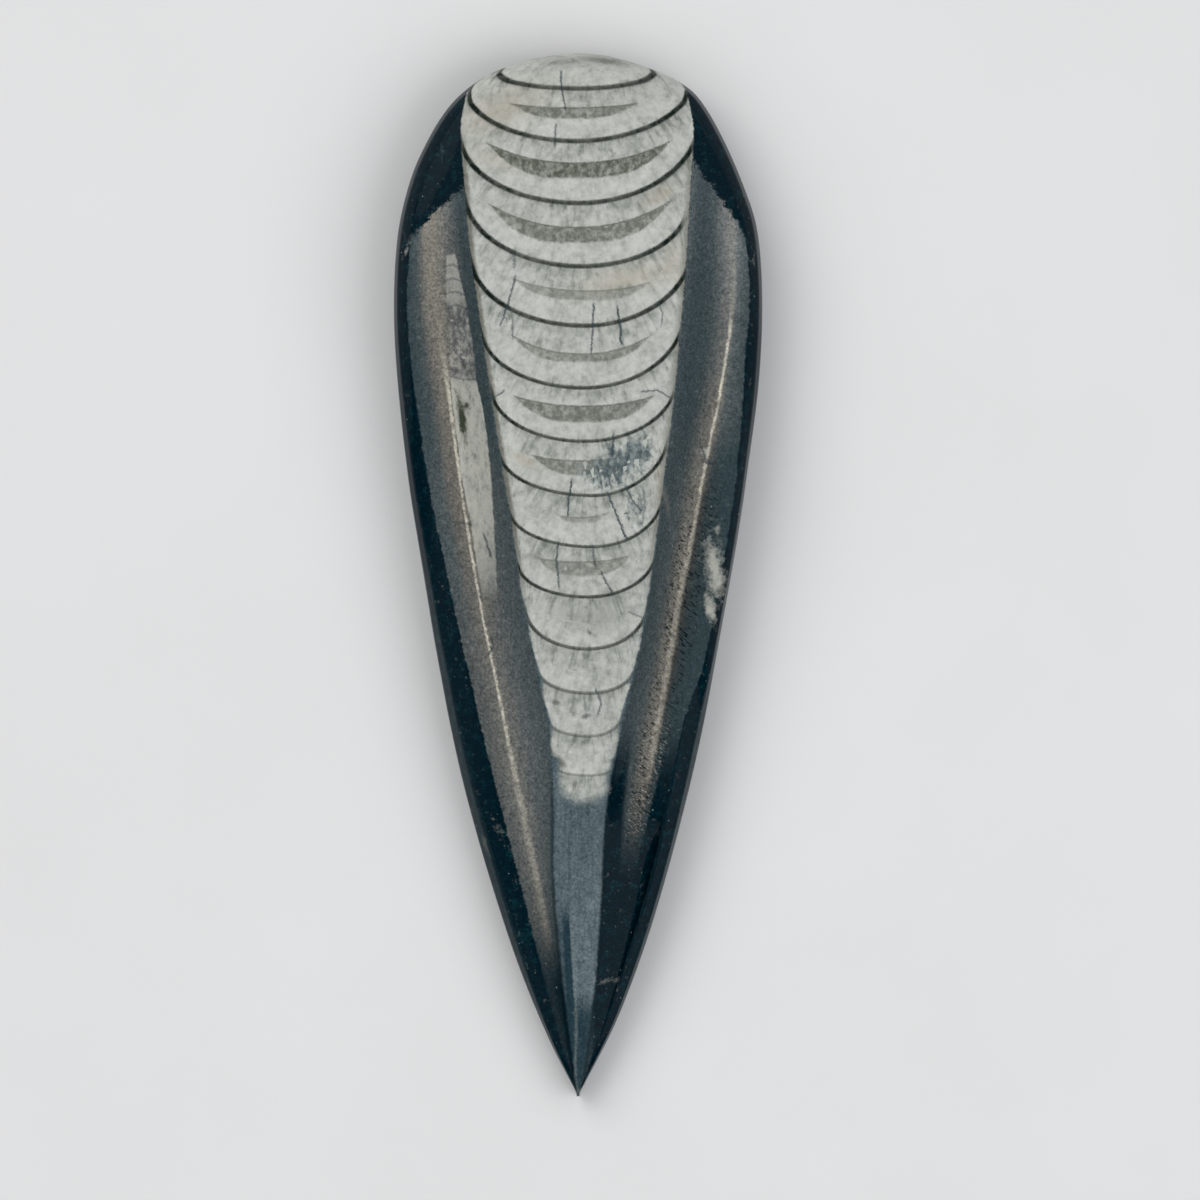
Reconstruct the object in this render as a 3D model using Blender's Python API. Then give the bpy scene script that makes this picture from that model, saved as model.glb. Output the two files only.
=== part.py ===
"""Orthoceras fossil, carved and polished out of one piece of black limestone.

A flat-backed teardrop, 115 mm long. The chambered shell runs down its middle as a low dome, with a
hollow-ground flute cut along each side of it. Outside the flutes is a polished rim, which falls by
a bevel and a steep strip to the side wall. The wide end is plain and rounded.

The stone lies on its back: +Z is up out of the carved face, +Y points to the wide end, and the
origin is on the floor under the middle of the stone.
"""

import math

import bmesh
import bpy

MM = 0.001

# ---- driving dimensions, in millimetres -------------------------------------------------------
HALF_LENGTH = 57.5
BACK_CHAMFER = 0.7              # broken edge round the flat back
SIDE_LEAN = 0.35                # how far the side wall leans in towards the back
STRIP_RISE = 1.8                # height of the steep strip above the side wall
STRIP_SHARE = 0.42              # share of the polished margin that the strip takes; the rest is bevel
BEVEL_ROUNDNESS = 0.5           # 0 for a flat bevel, 1 for one that is level at the rim
DOME_SAG = 0.12                 # fall of the dome to the shell's edge, per millimetre of half width
EDGE_ROUNDING = 8.0             # width over which the wide end and its shoulders round down
OUTER_WALL_PITCH = 0.36         # fall of a flute's outer wall for each millimetre of its width
WALL_STRAIGHTNESS = 0.25        # share of a flute wall's fall that is straight; the rest is hollow
RUN_OUT = 4.2                   # length over which a flute's wide end runs out to the shoulder
TIP_WIDTH = 0.35                # the point is ground blunt to this width

STATIONS = 56                   # sections along the stone
STEPS = {"strip": 2, "bevel": 3, "outer wall": 5, "inner wall": 6, "dome": 7}

# Outline from the middle of the wide end round to the point: (distance out, place along).
OUTLINE_LEFT = [(0.0, 57.5), (2.4, 57.3), (6.0, 56.6), (9.7, 55.2), (12.4, 53.4), (14.5, 51.2),
                (16.5, 48.0), (18.4, 43.7), (19.8, 37.8), (20.3, 30.0), (19.9, 21.4), (18.7, 10.6),
                (17.2, 1.2), (15.4, -9.6), (13.2, -20.6), (10.35, -31.4), (6.8, -42.4),
                (3.2, -51.2), (0.0, -57.5)]
OUTLINE_RIGHT = [(0.0, 57.5), (3.2, 57.2), (7.4, 56.0), (11.0, 54.4), (13.4, 52.4), (16.0, 48.0),
                 (18.4, 42.4), (19.8, 37.6), (20.3, 30.4), (19.95, 21.6), (18.75, 12.0),
                 (17.4, 3.2), (15.55, -7.2), (13.4, -18.4), (10.75, -29.4), (7.55, -40.3),
                 (4.2, -49.2), (0.0, -57.5)]

# Width of the polished margin outside each flute: (place along, width).
MARGIN_LEFT = [(57.5, 1.6), (30.0, 1.45), (20.0, 1.5), (10.0, 1.75), (-5.0, 2.8), (-14.0, 3.2),
               (-32.0, 2.7), (-43.0, 1.7), (-50.0, 1.1), (-57.5, 0.15)]
MARGIN_RIGHT = [(57.5, 1.6), (30.0, 1.45), (24.0, 1.75), (10.0, 1.15), (-9.0, 1.2), (-17.0, 2.2),
                (-32.0, 1.5), (-43.0, 1.4), (-50.0, 1.0), (-57.5, 0.15)]

# Lines that run the length of the stone: (place along, distance out from the middle).
SHELL_LEFT = [(57.5, 12.0), (53.4, 12.3), (49.0, 12.9), (43.0, 12.5), (36.0, 11.9), (28.0, 10.8),
              (20.0, 9.6), (13.0, 8.5), (5.0, 7.2), (-4.0, 5.9), (-11.0, 4.4), (-17.0, 3.2),
              (-24.0, 2.8), (-34.0, 2.7), (-43.0, 1.9), (-51.5, 0.9), (-57.5, 0.1)]
SHELL_RIGHT = [(57.5, 11.8), (53.4, 12.0), (49.0, 12.7), (42.0, 12.35), (35.0, 11.95), (26.0, 11.2),
               (18.0, 10.4), (10.0, 9.4), (1.0, 8.0), (-6.0, 6.9), (-12.0, 5.6), (-18.0, 4.2),
               (-26.0, 3.1), (-35.0, 2.6), (-45.0, 1.9), (-54.0, 0.8), (-57.5, 0.1)]
CREASE_LEFT = [(57.5, 16.8), (45.0, 16.6), (38.0, 16.3), (30.0, 15.7), (22.0, 14.5), (12.0, 13.2),
               (4.0, 12.0), (-5.0, 10.4), (-13.0, 8.75), (-21.0, 7.15), (-29.0, 5.5),
               (-36.0, 4.0), (-43.0, 2.75), (-51.0, 1.3), (-57.5, 0.15)]
CREASE_RIGHT = [(57.5, 17.1), (38.0, 17.1), (30.0, 17.0), (21.0, 15.8), (12.0, 14.0), (4.0, 12.5),
                (-3.0, 11.1), (-11.0, 9.8), (-19.0, 8.35), (-27.0, 6.8), (-36.0, 5.0),
                (-45.0, 3.1), (-52.0, 1.4), (-57.5, 0.15)]

# Where each flute ends against its shoulder: a slanting line from the shell's edge to the rim.
FLUTE_END_LEFT = ((12.8, 43.4), (18.9, 37.6))
FLUTE_END_RIGHT = ((12.6, 46.6), (19.3, 37.4))

# Heights along the stone: (place along, height).
RIDGE_HEIGHT = [(57.5, 12.1), (48.0, 12.5), (40.0, 12.75), (30.0, 12.8), (15.0, 12.4), (0.0, 11.4),
                (-12.0, 10.1), (-22.0, 8.8), (-32.0, 7.5), (-42.0, 6.1), (-50.0, 4.8),
                (-55.0, 4.0), (-57.5, 3.5)]
RIM_HEIGHT = [(57.5, 7.8), (48.0, 8.1), (38.0, 8.3), (20.0, 8.1), (0.0, 7.4), (-20.0, 6.5),
              (-35.0, 5.6), (-45.0, 4.8), (-53.0, 3.9), (-57.5, 3.3)]
SIDE_HEIGHT = [(57.5, 4.6), (30.0, 5.0), (0.0, 4.5), (-30.0, 3.6), (-50.0, 2.6), (-57.5, 2.1)]


def smooth_line(knots):
    """Return a function that runs smoothly through (place, value) knots."""
    knots = sorted(knots)
    places = [place for place, _ in knots]
    values = [value for _, value in knots]
    slopes = []
    for i in range(len(knots)):
        low, high = max(i - 1, 0), min(i + 1, len(knots) - 1)
        slopes.append((values[high] - values[low]) / (places[high] - places[low]))

    def value_at(place):
        place = min(max(place, places[0]), places[-1])
        i = max(sum(start <= place for start in places[:-1]) - 1, 0)
        span = places[i + 1] - places[i]
        t = (place - places[i]) / span
        rising = t * t * (3 - 2 * t)
        bend = t * (1 - t) * span * ((1 - t) * slopes[i] - t * slopes[i + 1])
        return mix(values[i], values[i + 1], rising) + bend

    return value_at


def mix(start, end, amount):
    return start + (end - start) * amount


def ease(amount):
    """Smooth step from 0 to 1."""
    amount = min(max(amount, 0.0), 1.0)
    return amount * amount * (3 - 2 * amount)


ridge_height = smooth_line(RIDGE_HEIGHT)
rim_height = smooth_line(RIM_HEIGHT)
side_height = smooth_line(SIDE_HEIGHT)


class Side:
    """One side of the stone. Its distances out from the middle are positive on both sides."""

    def __init__(self, sign, outline, margin, shell, crease, flute_end):
        self.sign = sign
        last = len(outline) - 1
        self.out_at = smooth_line([(i / last, out) for i, (out, _) in enumerate(outline)])
        self.along_at = smooth_line([(i / last, along) for i, (_, along) in enumerate(outline)])
        self.margin = smooth_line(margin)
        self.shell = smooth_line(shell)
        self.crease = smooth_line(crease)
        self.flute_end = flute_end
        self.traced = [(self.out_at(i / 150), self.along_at(i / 150)) for i in range(151)]

    def outline_at(self, along):
        """The outline's distance out at a place along, and its normal, as (out, along) pairs."""
        low, high = 0.0, 1.0
        for _ in range(40):
            share = 0.5 * (low + high)
            if self.along_at(share) > along:
                low = share
            else:
                high = share
        step = 0.002
        before, after = max(share - step, 0.0), min(share + step, 1.0)
        run_out = self.out_at(after) - self.out_at(before)
        run_along = self.along_at(after) - self.along_at(before)
        if share < step:
            run_along = 0.0
        size = math.hypot(run_out, run_along)
        return (self.out_at(share), along), (-run_along / size, run_out / size)

    def distance_in(self, out, along):
        """Distance from a place to the outline."""
        return min(math.hypot(out - spot[0], along - spot[1]) for spot in self.traced)

    def flute_share(self, out, along):
        """How far the flute is cut at a place: 0 on the shoulder, 1 in the full flute."""
        (out_a, along_a), (out_b, along_b) = self.flute_end
        run_out, run_along = out_b - out_a, along_b - along_a
        beyond = (max(out, out_a) - out_a) * run_along - (along - along_a) * run_out
        return ease(beyond / math.hypot(run_out, run_along) / RUN_OUT)


LEFT = Side(-1, OUTLINE_LEFT, MARGIN_LEFT, SHELL_LEFT, CREASE_LEFT, FLUTE_END_LEFT)
RIGHT = Side(1, OUTLINE_RIGHT, MARGIN_RIGHT, SHELL_RIGHT, CREASE_RIGHT, FLUTE_END_RIGHT)


def body_height(side, out, along):
    """The dome and its shoulders, before the flutes are cut."""
    shell = side.shell(along)
    dome = ridge_height(along) - DOME_SAG * shell * (out / shell) ** 2
    rounding = EDGE_ROUNDING * ease((along - 24.0) / 14.0)
    inward = max(side.distance_in(out, along) - side.margin(along), 0.0)
    if inward >= rounding:
        return dome
    fullness = math.sin(inward / rounding * math.pi / 2)
    return mix(rim_height(along), dome, fullness)


def flute_height(side, out, along, lines):
    """The hollow-ground flute between the shell's edge and the rim."""
    shell, crease, rim = lines
    rim_top = rim_height(along)
    bottom = rim_top - OUTER_WALL_PITCH * (rim - crease)
    if out <= crease:
        top = ridge_height(along) - DOME_SAG * side.shell(along)
        climb = (crease - out) / (crease - shell)
    else:
        top = rim_top
        climb = (out - crease) / (rim - crease)
    return mix(bottom, top, mix(climb ** 2, climb, WALL_STRAIGHTNESS))


def face_height(side, out, along, lines):
    """Height of the carved face at a place inside the rim."""
    body = body_height(side, out, along)
    if out <= lines[0]:
        return body
    return mix(body, flute_height(side, out, along, lines), side.flute_share(out, along))


def edge_profile(side, along):
    """Points of one side from the back up to the rim, as (out, along, height)."""
    (out, _), (normal_out, normal_along) = side.outline_at(along)
    if along < 0:
        out = max(out, TIP_WIDTH / 2)
    deepest = 0.8 * out / max(normal_out, 0.01)
    margin = side.margin(along)
    strip = STRIP_SHARE * margin
    wall_top = side_height(along)
    strip_top = min(wall_top + STRIP_RISE, mix(wall_top, rim_height(along), 0.75))
    levels = [(BACK_CHAMFER + SIDE_LEAN, 0.0), (SIDE_LEAN, BACK_CHAMFER), (0.0, wall_top)]
    for i in range(1, STEPS["strip"] + 1):
        part = i / STEPS["strip"]
        levels.append((strip * part, mix(wall_top, strip_top, part)))
    for i in range(1, STEPS["bevel"] + 1):
        part = i / STEPS["bevel"]
        climb = mix(part, math.sin(part * math.pi / 2), BEVEL_ROUNDNESS)
        levels.append((mix(strip, margin, part), mix(strip_top, rim_height(along), climb)))
    points = []
    for depth, height in levels:
        depth = min(depth, deepest) if along < HALF_LENGTH else depth
        points.append((out - normal_out * depth, along - normal_along * depth, height))
    return points


def face_stops(side, rim, along):
    """Distances out of the shell's edge, the crease and the rim on one section."""
    shell = min(side.shell(along), 0.9 * rim)
    crease = min(max(side.crease(along), mix(shell, rim, 0.1)), mix(shell, rim, 0.9))
    return shell, crease, rim


def section(along):
    """A closed ring of points: up the left side, across the face, and down the right side."""
    halves = []
    edges = [edge_profile(side, along) for side in (LEFT, RIGHT)]
    middle = 0.5 * (edges[0][-1][1] + edges[1][-1][1])
    for side, edge in zip((LEFT, RIGHT), edges):
        rim_out, rim_along, _ = edge[-1]
        lines = face_stops(side, rim_out, rim_along)
        shell, crease, rim = lines
        points = list(edge)
        for start, end, name in ((rim, crease, "outer wall"), (crease, shell, "inner wall"),
                                 (shell, 0.0, "dome")):
            for i in range(1, STEPS[name] + 1):
                out = mix(start, end, i / STEPS[name])
                place = mix(middle, rim_along, out / rim if rim else 0.0)
                points.append((out, place, face_height(side, out, place, lines)))
        halves.append([(side.sign * out * MM, place * MM, high * MM) for out, place, high in points])
    left, right = halves
    return left + right[-2::-1]


def station_place(i):
    """Place along of a section: closest together round the wide end, where the outline turns."""
    return LEFT.along_at(i / STATIONS)


def make_stone():
    """Loft the sections from the wide end to the point into one closed solid."""
    mesh = bpy.data.meshes.new("orthoceras_stone")
    form = bmesh.new()
    rings = []
    for i in range(STATIONS + 1):
        rings.append([form.verts.new(point) for point in section(station_place(i))])
    for ring, following in zip(rings, rings[1:]):
        for k in range(len(ring)):
            after = (k + 1) % len(ring)
            form.faces.new((ring[k], ring[after], following[after], following[k]))
    form.faces.new(rings[0])
    form.faces.new(reversed(rings[-1]))
    bmesh.ops.remove_doubles(form, verts=form.verts, dist=0.01 * MM)
    bmesh.ops.dissolve_degenerate(form, edges=form.edges, dist=0.01 * MM)
    bmesh.ops.triangulate(form, faces=form.faces)
    bmesh.ops.recalc_face_normals(form, faces=form.faces)
    form.to_mesh(mesh)
    form.free()
    mesh.shade_smooth()
    mesh.set_sharp_from_angle(angle=math.radians(28))
    return bpy.data.objects.new("orthoceras_stone", mesh)


def stone_material():
    """Black limestone, polished."""
    material = bpy.data.materials.new("black_limestone")
    material.use_nodes = True
    shader = material.node_tree.nodes["Principled BSDF"]
    shader.inputs["Base Color"].default_value = (0.022, 0.028, 0.030, 1.0)
    shader.inputs["Roughness"].default_value = 0.25
    shader.inputs["Metallic"].default_value = 0.0
    return material


for old in list(bpy.data.objects):
    bpy.data.objects.remove(old, do_unlink=True)
parts = bpy.data.collections.new("orthoceras_fossil")
bpy.context.scene.collection.children.link(parts)
stone = make_stone()
stone.data.materials.append(stone_material())
parts.objects.link(stone)
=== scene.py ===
import math

import bmesh
import bpy
import numpy as np
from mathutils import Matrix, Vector


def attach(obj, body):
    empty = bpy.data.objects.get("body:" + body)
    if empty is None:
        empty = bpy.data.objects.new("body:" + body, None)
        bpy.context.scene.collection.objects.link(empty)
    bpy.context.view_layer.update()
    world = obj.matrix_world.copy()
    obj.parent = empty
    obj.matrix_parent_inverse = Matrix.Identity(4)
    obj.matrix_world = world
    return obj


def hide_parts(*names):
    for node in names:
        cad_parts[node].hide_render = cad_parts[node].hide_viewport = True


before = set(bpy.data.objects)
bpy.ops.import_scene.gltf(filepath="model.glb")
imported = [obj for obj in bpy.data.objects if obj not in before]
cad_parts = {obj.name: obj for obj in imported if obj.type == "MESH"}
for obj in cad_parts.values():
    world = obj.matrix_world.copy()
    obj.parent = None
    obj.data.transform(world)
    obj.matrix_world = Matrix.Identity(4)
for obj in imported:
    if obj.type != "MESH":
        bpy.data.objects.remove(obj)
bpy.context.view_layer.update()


# ================================================================================================
# The carved stone
# One piece of black limestone, ground to a teardrop on a flat back. A low dome carries the shell
# down the middle, with a hollow-ground flute on each side and a polished margin round them.
# Its surface is lofted from cross-sections set at even steps round the outline.

MM = 0.001
HALF_LENGTH = 57.5
BACK_CHAMFER = 0.7
BACK_LEDGE = 0.3
SIDE_LEAN = 0.35
STRIP_RISE = 1.8
STRIP_TOP_SHARE = 0.75
STRIP_SHARE = 0.28
BEVEL_ROUNDNESS = 0.2
DOME_SAG = 0.12
EDGE_ROUNDING = 8.0
ROUNDING_START = 24.0
ROUNDING_RUN_IN = 14.0
SHELL_EDGE_SOFTNESS = 0.5
OUTER_WALL_PITCH = 0.36
WALL_STRAIGHTNESS = 0.25
FLUTE_RUN_OUT = 4.2
TIP_WIDTH = 0.35
FACET_START = -21.0
FACET_RUN_IN = 12.0

# Fineness of the loft. An edge column reaches in no further than a share of the way to the middle,
# so that the columns don't cross at the point.
SECTIONS = 440
STEPS = {"back": 3, "side": 5, "strip": 4, "bevel": 8, "outer wall": 17, "inner wall": 22, "dome": 38}
OUTLINE_SAMPLES = 2400
SAMPLES_APART = 6
DEEPEST_SHARE = 0.8
WELD_DISTANCE = 0.002

# Outline from the middle of the wide end round to the point: (distance out, place along).
OUTLINE_LEFT = [(0.0, 57.5), (2.4, 57.3), (6.0, 56.6), (9.7, 55.2), (12.4, 53.4), (14.5, 51.2),
                (16.5, 48.0), (18.4, 43.7), (19.8, 37.8), (20.3, 30.0), (19.9, 21.4), (18.7, 10.6),
                (17.2, 1.2), (15.4, -9.6), (13.2, -20.6), (10.35, -31.4), (6.8, -42.4),
                (3.2, -51.2), (0.0, -57.5)]
OUTLINE_RIGHT = [(0.0, 57.5), (3.2, 57.2), (7.4, 56.0), (11.0, 54.4), (13.4, 52.4), (16.0, 48.0),
                 (18.4, 42.4), (19.8, 37.6), (20.3, 30.4), (19.95, 21.6), (18.75, 12.0),
                 (17.4, 3.2), (15.55, -7.2), (13.4, -18.4), (10.75, -29.4), (7.55, -40.3),
                 (4.2, -49.2), (0.0, -57.5)]

# Width of the polished margin outside each flute: (place along, width).
MARGIN_LEFT = [(57.5, 1.6), (30.0, 1.5), (22.0, 1.75), (15.0, 2.05), (6.0, 2.3), (-4.0, 2.8),
               (-14.0, 3.25), (-24.0, 3.4), (-34.0, 3.1), (-43.0, 2.3), (-50.0, 1.3), (-57.5, 0.15)]
MARGIN_RIGHT = [(57.5, 1.6), (30.0, 1.45), (24.0, 1.75), (10.0, 1.15), (-9.0, 1.2), (-17.0, 2.2),
                (-32.0, 1.5), (-43.0, 1.4), (-50.0, 1.0), (-57.5, 0.15)]

# Lines that run the length of the stone: (place along, distance out from the middle).
SHELL_LEFT = [(57.5, 12.0), (53.4, 12.3), (49.0, 12.9), (43.0, 12.5), (36.0, 11.9), (28.0, 10.8),
              (20.0, 9.6), (13.0, 8.5), (5.0, 7.2), (-4.0, 5.9), (-11.0, 4.4), (-17.0, 3.2),
              (-24.0, 2.8), (-34.0, 2.7), (-43.0, 1.9), (-51.5, 0.9), (-57.5, 0.1)]
SHELL_RIGHT = [(57.5, 11.8), (53.4, 12.0), (49.0, 12.7), (42.0, 12.35), (35.0, 11.95), (26.0, 11.2),
               (18.0, 10.4), (10.0, 9.4), (1.0, 8.2), (-6.0, 7.2), (-12.0, 5.9), (-18.0, 4.5),
               (-26.0, 3.1), (-35.0, 2.6), (-45.0, 1.9), (-54.0, 0.8), (-57.5, 0.1)]
CREASE_LEFT = [(57.5, 16.8), (45.0, 16.6), (38.0, 16.3), (30.0, 15.7), (22.0, 14.5), (12.0, 13.2),
               (4.0, 12.0), (-5.0, 10.4), (-13.0, 8.75), (-21.0, 7.15), (-29.0, 5.5),
               (-36.0, 4.0), (-43.0, 2.75), (-51.0, 1.3), (-57.5, 0.15)]
CREASE_RIGHT = [(57.5, 17.1), (38.0, 17.1), (30.0, 17.0), (21.0, 15.8), (12.0, 14.0), (4.0, 12.5),
                (-3.0, 11.1), (-11.0, 9.8), (-19.0, 8.35), (-27.0, 6.8), (-36.0, 5.0),
                (-45.0, 3.1), (-52.0, 1.4), (-57.5, 0.15)]

# Where each flute ends against its shoulder: a slanting line from the shell's edge to the rim.
FLUTE_END_LEFT = ((12.8, 43.4), (18.9, 37.6))
FLUTE_END_RIGHT = ((12.6, 46.6), (19.3, 37.4))

# Heights along the stone: (place along, height).
RIDGE_HEIGHT = [(57.5, 12.1), (48.0, 12.5), (40.0, 12.75), (30.0, 12.8), (15.0, 12.4), (0.0, 11.4),
                (-12.0, 10.1), (-22.0, 8.8), (-32.0, 7.5), (-42.0, 6.1), (-50.0, 4.8),
                (-55.0, 4.0), (-57.5, 3.5)]
RIM_HEIGHT = [(57.5, 7.8), (48.0, 8.1), (38.0, 8.3), (20.0, 8.1), (0.0, 7.4), (-20.0, 6.5),
              (-35.0, 5.6), (-45.0, 4.8), (-53.0, 3.9), (-57.5, 3.3)]
SIDE_HEIGHT = [(57.5, 4.6), (30.0, 5.0), (0.0, 4.5), (-30.0, 3.6), (-50.0, 2.6), (-57.5, 2.1)]


def mix(start, end, amount):
    return start + (end - start) * amount


def ease(amount):
    """Smooth step from 0 to 1."""
    amount = np.clip(amount, 0.0, 1.0)
    return amount * amount * (3 - 2 * amount)


def smooth_line(knots):
    """Return a function that runs smoothly through (place, value) knots."""
    places, values = np.array(sorted(knots), float).T
    slopes = np.empty_like(values)
    slopes[1:-1] = (values[2:] - values[:-2]) / (places[2:] - places[:-2])
    slopes[0] = (values[1] - values[0]) / (places[1] - places[0])
    slopes[-1] = (values[-1] - values[-2]) / (places[-1] - places[-2])

    def value_at(place):
        place = np.clip(place, places[0], places[-1])
        i = np.clip(np.searchsorted(places, place, side="right") - 1, 0, len(places) - 2)
        span = places[i + 1] - places[i]
        t = (place - places[i]) / span
        bend = t * (1 - t) * span * ((1 - t) * slopes[i] - t * slopes[i + 1])
        return mix(values[i], values[i + 1], ease(t)) + bend

    return value_at


class StoneSide:
    """One side of the stone. Its distances out from the middle are positive on both sides."""

    def __init__(self, sign, outline, margin, shell, crease, flute_end):
        self.sign = sign
        last = len(outline) - 1
        share = np.linspace(0, 1, OUTLINE_SAMPLES)
        self.out = smooth_line([(i / last, out) for i, (out, _) in enumerate(outline)])(share)
        self.along = smooth_line([(i / last, along) for i, (_, along) in enumerate(outline)])(share)
        self.margin = smooth_line(margin)
        self.shell = smooth_line(shell)
        self.crease = smooth_line(crease)
        self.flute_end = flute_end

    def outline_at(self, along):
        """Distance out of the outline at places along, and its outward normal there."""
        run_out, run_along = np.gradient(self.out), np.gradient(self.along)
        run_along[0] = 0.0
        size = np.hypot(run_out, run_along)
        falling = -self.along
        out = np.interp(-along, falling, self.out)
        normal_out = np.interp(-along, falling, -run_along / size)
        normal_along = np.interp(-along, falling, run_out / size)
        return out, normal_out, normal_along

    def distance_in(self, out, along):
        """Distance from places to the outline."""
        nearest = np.full(out.shape, np.inf)
        for edge_out, edge_along in zip(self.out[::SAMPLES_APART], self.along[::SAMPLES_APART]):
            nearest = np.minimum(nearest, np.hypot(out - edge_out, along - edge_along))
        return nearest

    def past_flute_end(self, out, along):
        """Distance of places past the line where the flute ends, negative on the shoulder."""
        (out_a, along_a), (out_b, along_b) = self.flute_end
        run_out, run_along = out_b - out_a, along_b - along_a
        beyond = (np.maximum(out, out_a) - out_a) * run_along - (along - along_a) * run_out
        return beyond / math.hypot(run_out, run_along)

    def flute_share(self, out, along):
        """How far the flute is cut at places: 0 on the shoulder, 1 in the full flute."""
        return ease(self.past_flute_end(out, along) / FLUTE_RUN_OUT)


left_side = StoneSide(-1, OUTLINE_LEFT, MARGIN_LEFT, SHELL_LEFT, CREASE_LEFT, FLUTE_END_LEFT)
right_side = StoneSide(1, OUTLINE_RIGHT, MARGIN_RIGHT, SHELL_RIGHT, CREASE_RIGHT, FLUTE_END_RIGHT)
ridge_height = smooth_line(RIDGE_HEIGHT)
rim_height = smooth_line(RIM_HEIGHT)
side_height = smooth_line(SIDE_HEIGHT)


def edge_points(side, along):
    """Columns of one side from the back up to the rim, each an (out, along, height) of arrays."""
    out, normal_out, normal_along = side.outline_at(along)
    out = np.where(along < 0, np.maximum(out, TIP_WIDTH / 2), out)
    to_middle = out / np.maximum(normal_out, 0.01)
    deepest = np.where(along > HALF_LENGTH - 0.01, np.inf, DEEPEST_SHARE * to_middle)
    margin = side.margin(along)
    strip = STRIP_SHARE * margin
    wall_top = side_height(along)
    highest = mix(wall_top, rim_height(along), STRIP_TOP_SHARE)
    strip_top = np.minimum(wall_top + STRIP_RISE, highest)
    levels = [(BACK_CHAMFER + SIDE_LEAN + BACK_LEDGE, 0.0), (BACK_CHAMFER + SIDE_LEAN, 0.0),
              (mix(BACK_CHAMFER, 0, 0.5) + SIDE_LEAN, BACK_CHAMFER * 0.4), (SIDE_LEAN, BACK_CHAMFER)]
    for part in np.linspace(0, 1, STEPS["side"] + 1)[1:]:
        levels.append((SIDE_LEAN * (1 - part) ** 2, mix(BACK_CHAMFER, wall_top, part)))
    for part in np.linspace(0, 1, STEPS["strip"] + 1)[1:]:
        levels.append((strip * part, mix(wall_top, strip_top, part)))
    for part in np.linspace(0, 1, STEPS["bevel"] + 1)[1:]:
        climb = mix(part, math.sin(part * math.pi / 2), BEVEL_ROUNDNESS)
        levels.append((mix(strip, margin, part), mix(strip_top, rim_height(along), climb)))
    columns = []
    for depth, height in levels:
        depth = np.minimum(depth, deepest)
        columns.append((out - normal_out * depth, along - normal_along * depth, height + 0 * out))
    return columns


def face_height(side, out, along, shell, crease, rim):
    """Height of the carved face: the dome and shoulders, with the flute cut out of them."""
    true_shell = side.shell(along)
    dome = ridge_height(along) - DOME_SAG * true_shell * (out / true_shell) ** 2
    rounding = np.maximum(EDGE_ROUNDING * ease((along - ROUNDING_START) / ROUNDING_RUN_IN), 1e-6)
    inward = np.clip(side.distance_in(out, along) - side.margin(along), 0, rounding)
    body = mix(rim_height(along), dome, np.sin(inward / rounding * math.pi / 2))
    bottom = rim_height(along) - OUTER_WALL_PITCH * (rim - crease)
    inner_top = ridge_height(along) - DOME_SAG * true_shell
    inner_climb = (crease - out) / np.maximum(crease - shell, 1e-6)
    outer_climb = (out - crease) / np.maximum(rim - crease, 1e-6)
    inner = mix(bottom, inner_top, mix(inner_climb ** 2, inner_climb, WALL_STRAIGHTNESS))
    outer = mix(bottom, rim_height(along), mix(outer_climb ** 2, outer_climb, WALL_STRAIGHTNESS))
    overlap = np.maximum(SHELL_EDGE_SOFTNESS - np.abs(inner - body), 0) / SHELL_EDGE_SOFTNESS
    inner = np.minimum(inner, body) - overlap ** 2 * SHELL_EDGE_SOFTNESS / 4
    flute = np.where(out <= crease, inner, outer)
    if side.sign > 0:
        facet = mix(inner_top, rim_height(along), (out - shell) / np.maximum(rim - shell, 1e-6))
        facet = np.where(out <= shell, body, np.minimum(facet, body))
        flute = mix(flute, facet, ease((FACET_START - along) / FACET_RUN_IN))
    flute = np.where(rim > 1e-3, flute, body)
    return mix(body, flute, side.flute_share(out, along))


def face_points(side, edge, middle):
    """Columns of one side from inside the rim to the middle of the dome."""
    rim, rim_along, _ = edge
    shell = np.minimum(side.shell(rim_along), 0.9 * rim)
    crease = np.clip(side.crease(rim_along), mix(shell, rim, 0.1), mix(shell, rim, 0.9))
    columns = []
    for start, end, name in ((rim, crease, "outer wall"), (crease, shell, "inner wall"),
                             (shell, 0 * shell, "dome")):
        for part in np.linspace(0, 1, STEPS[name] + 1)[1:]:
            out = mix(start, end, part)
            along = mix(middle, rim_along, np.where(rim > 0, out / np.maximum(rim, 1e-9), 0))
            columns.append((out, along, face_height(side, out, along, shell, crease, rim)))
    return columns


def section_places():
    """Places along of the sections, at even steps round the left outline."""
    walked = np.cumsum(np.hypot(np.gradient(left_side.out), np.gradient(left_side.along)))
    steps = np.linspace(walked[0], walked[-1], SECTIONS + 1)
    places = np.interp(steps, walked, left_side.along)
    places[0], places[-1] = HALF_LENGTH, -HALF_LENGTH
    return places


def lofted_rings():
    """Closed rings of points, up the left side, over the face, down the right side, along the back."""
    along = section_places()
    edges = [edge_points(side, along) for side in (left_side, right_side)]
    middle = 0.5 * (edges[0][-1][1] + edges[1][-1][1])
    halves = []
    for side, edge in zip((left_side, right_side), edges):
        columns = edge + face_points(side, edge[-1], middle)
        halves.append([np.stack((side.sign * out, place, height), -1) for out, place, height in columns])
    left, right = halves
    ring = left + right[-2::-1]
    for part in np.linspace(0, 1, STEPS["back"] + 1)[1:-1]:
        ring.append(mix(right[0], left[0], part))
    return np.stack(ring, 1)


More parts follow.
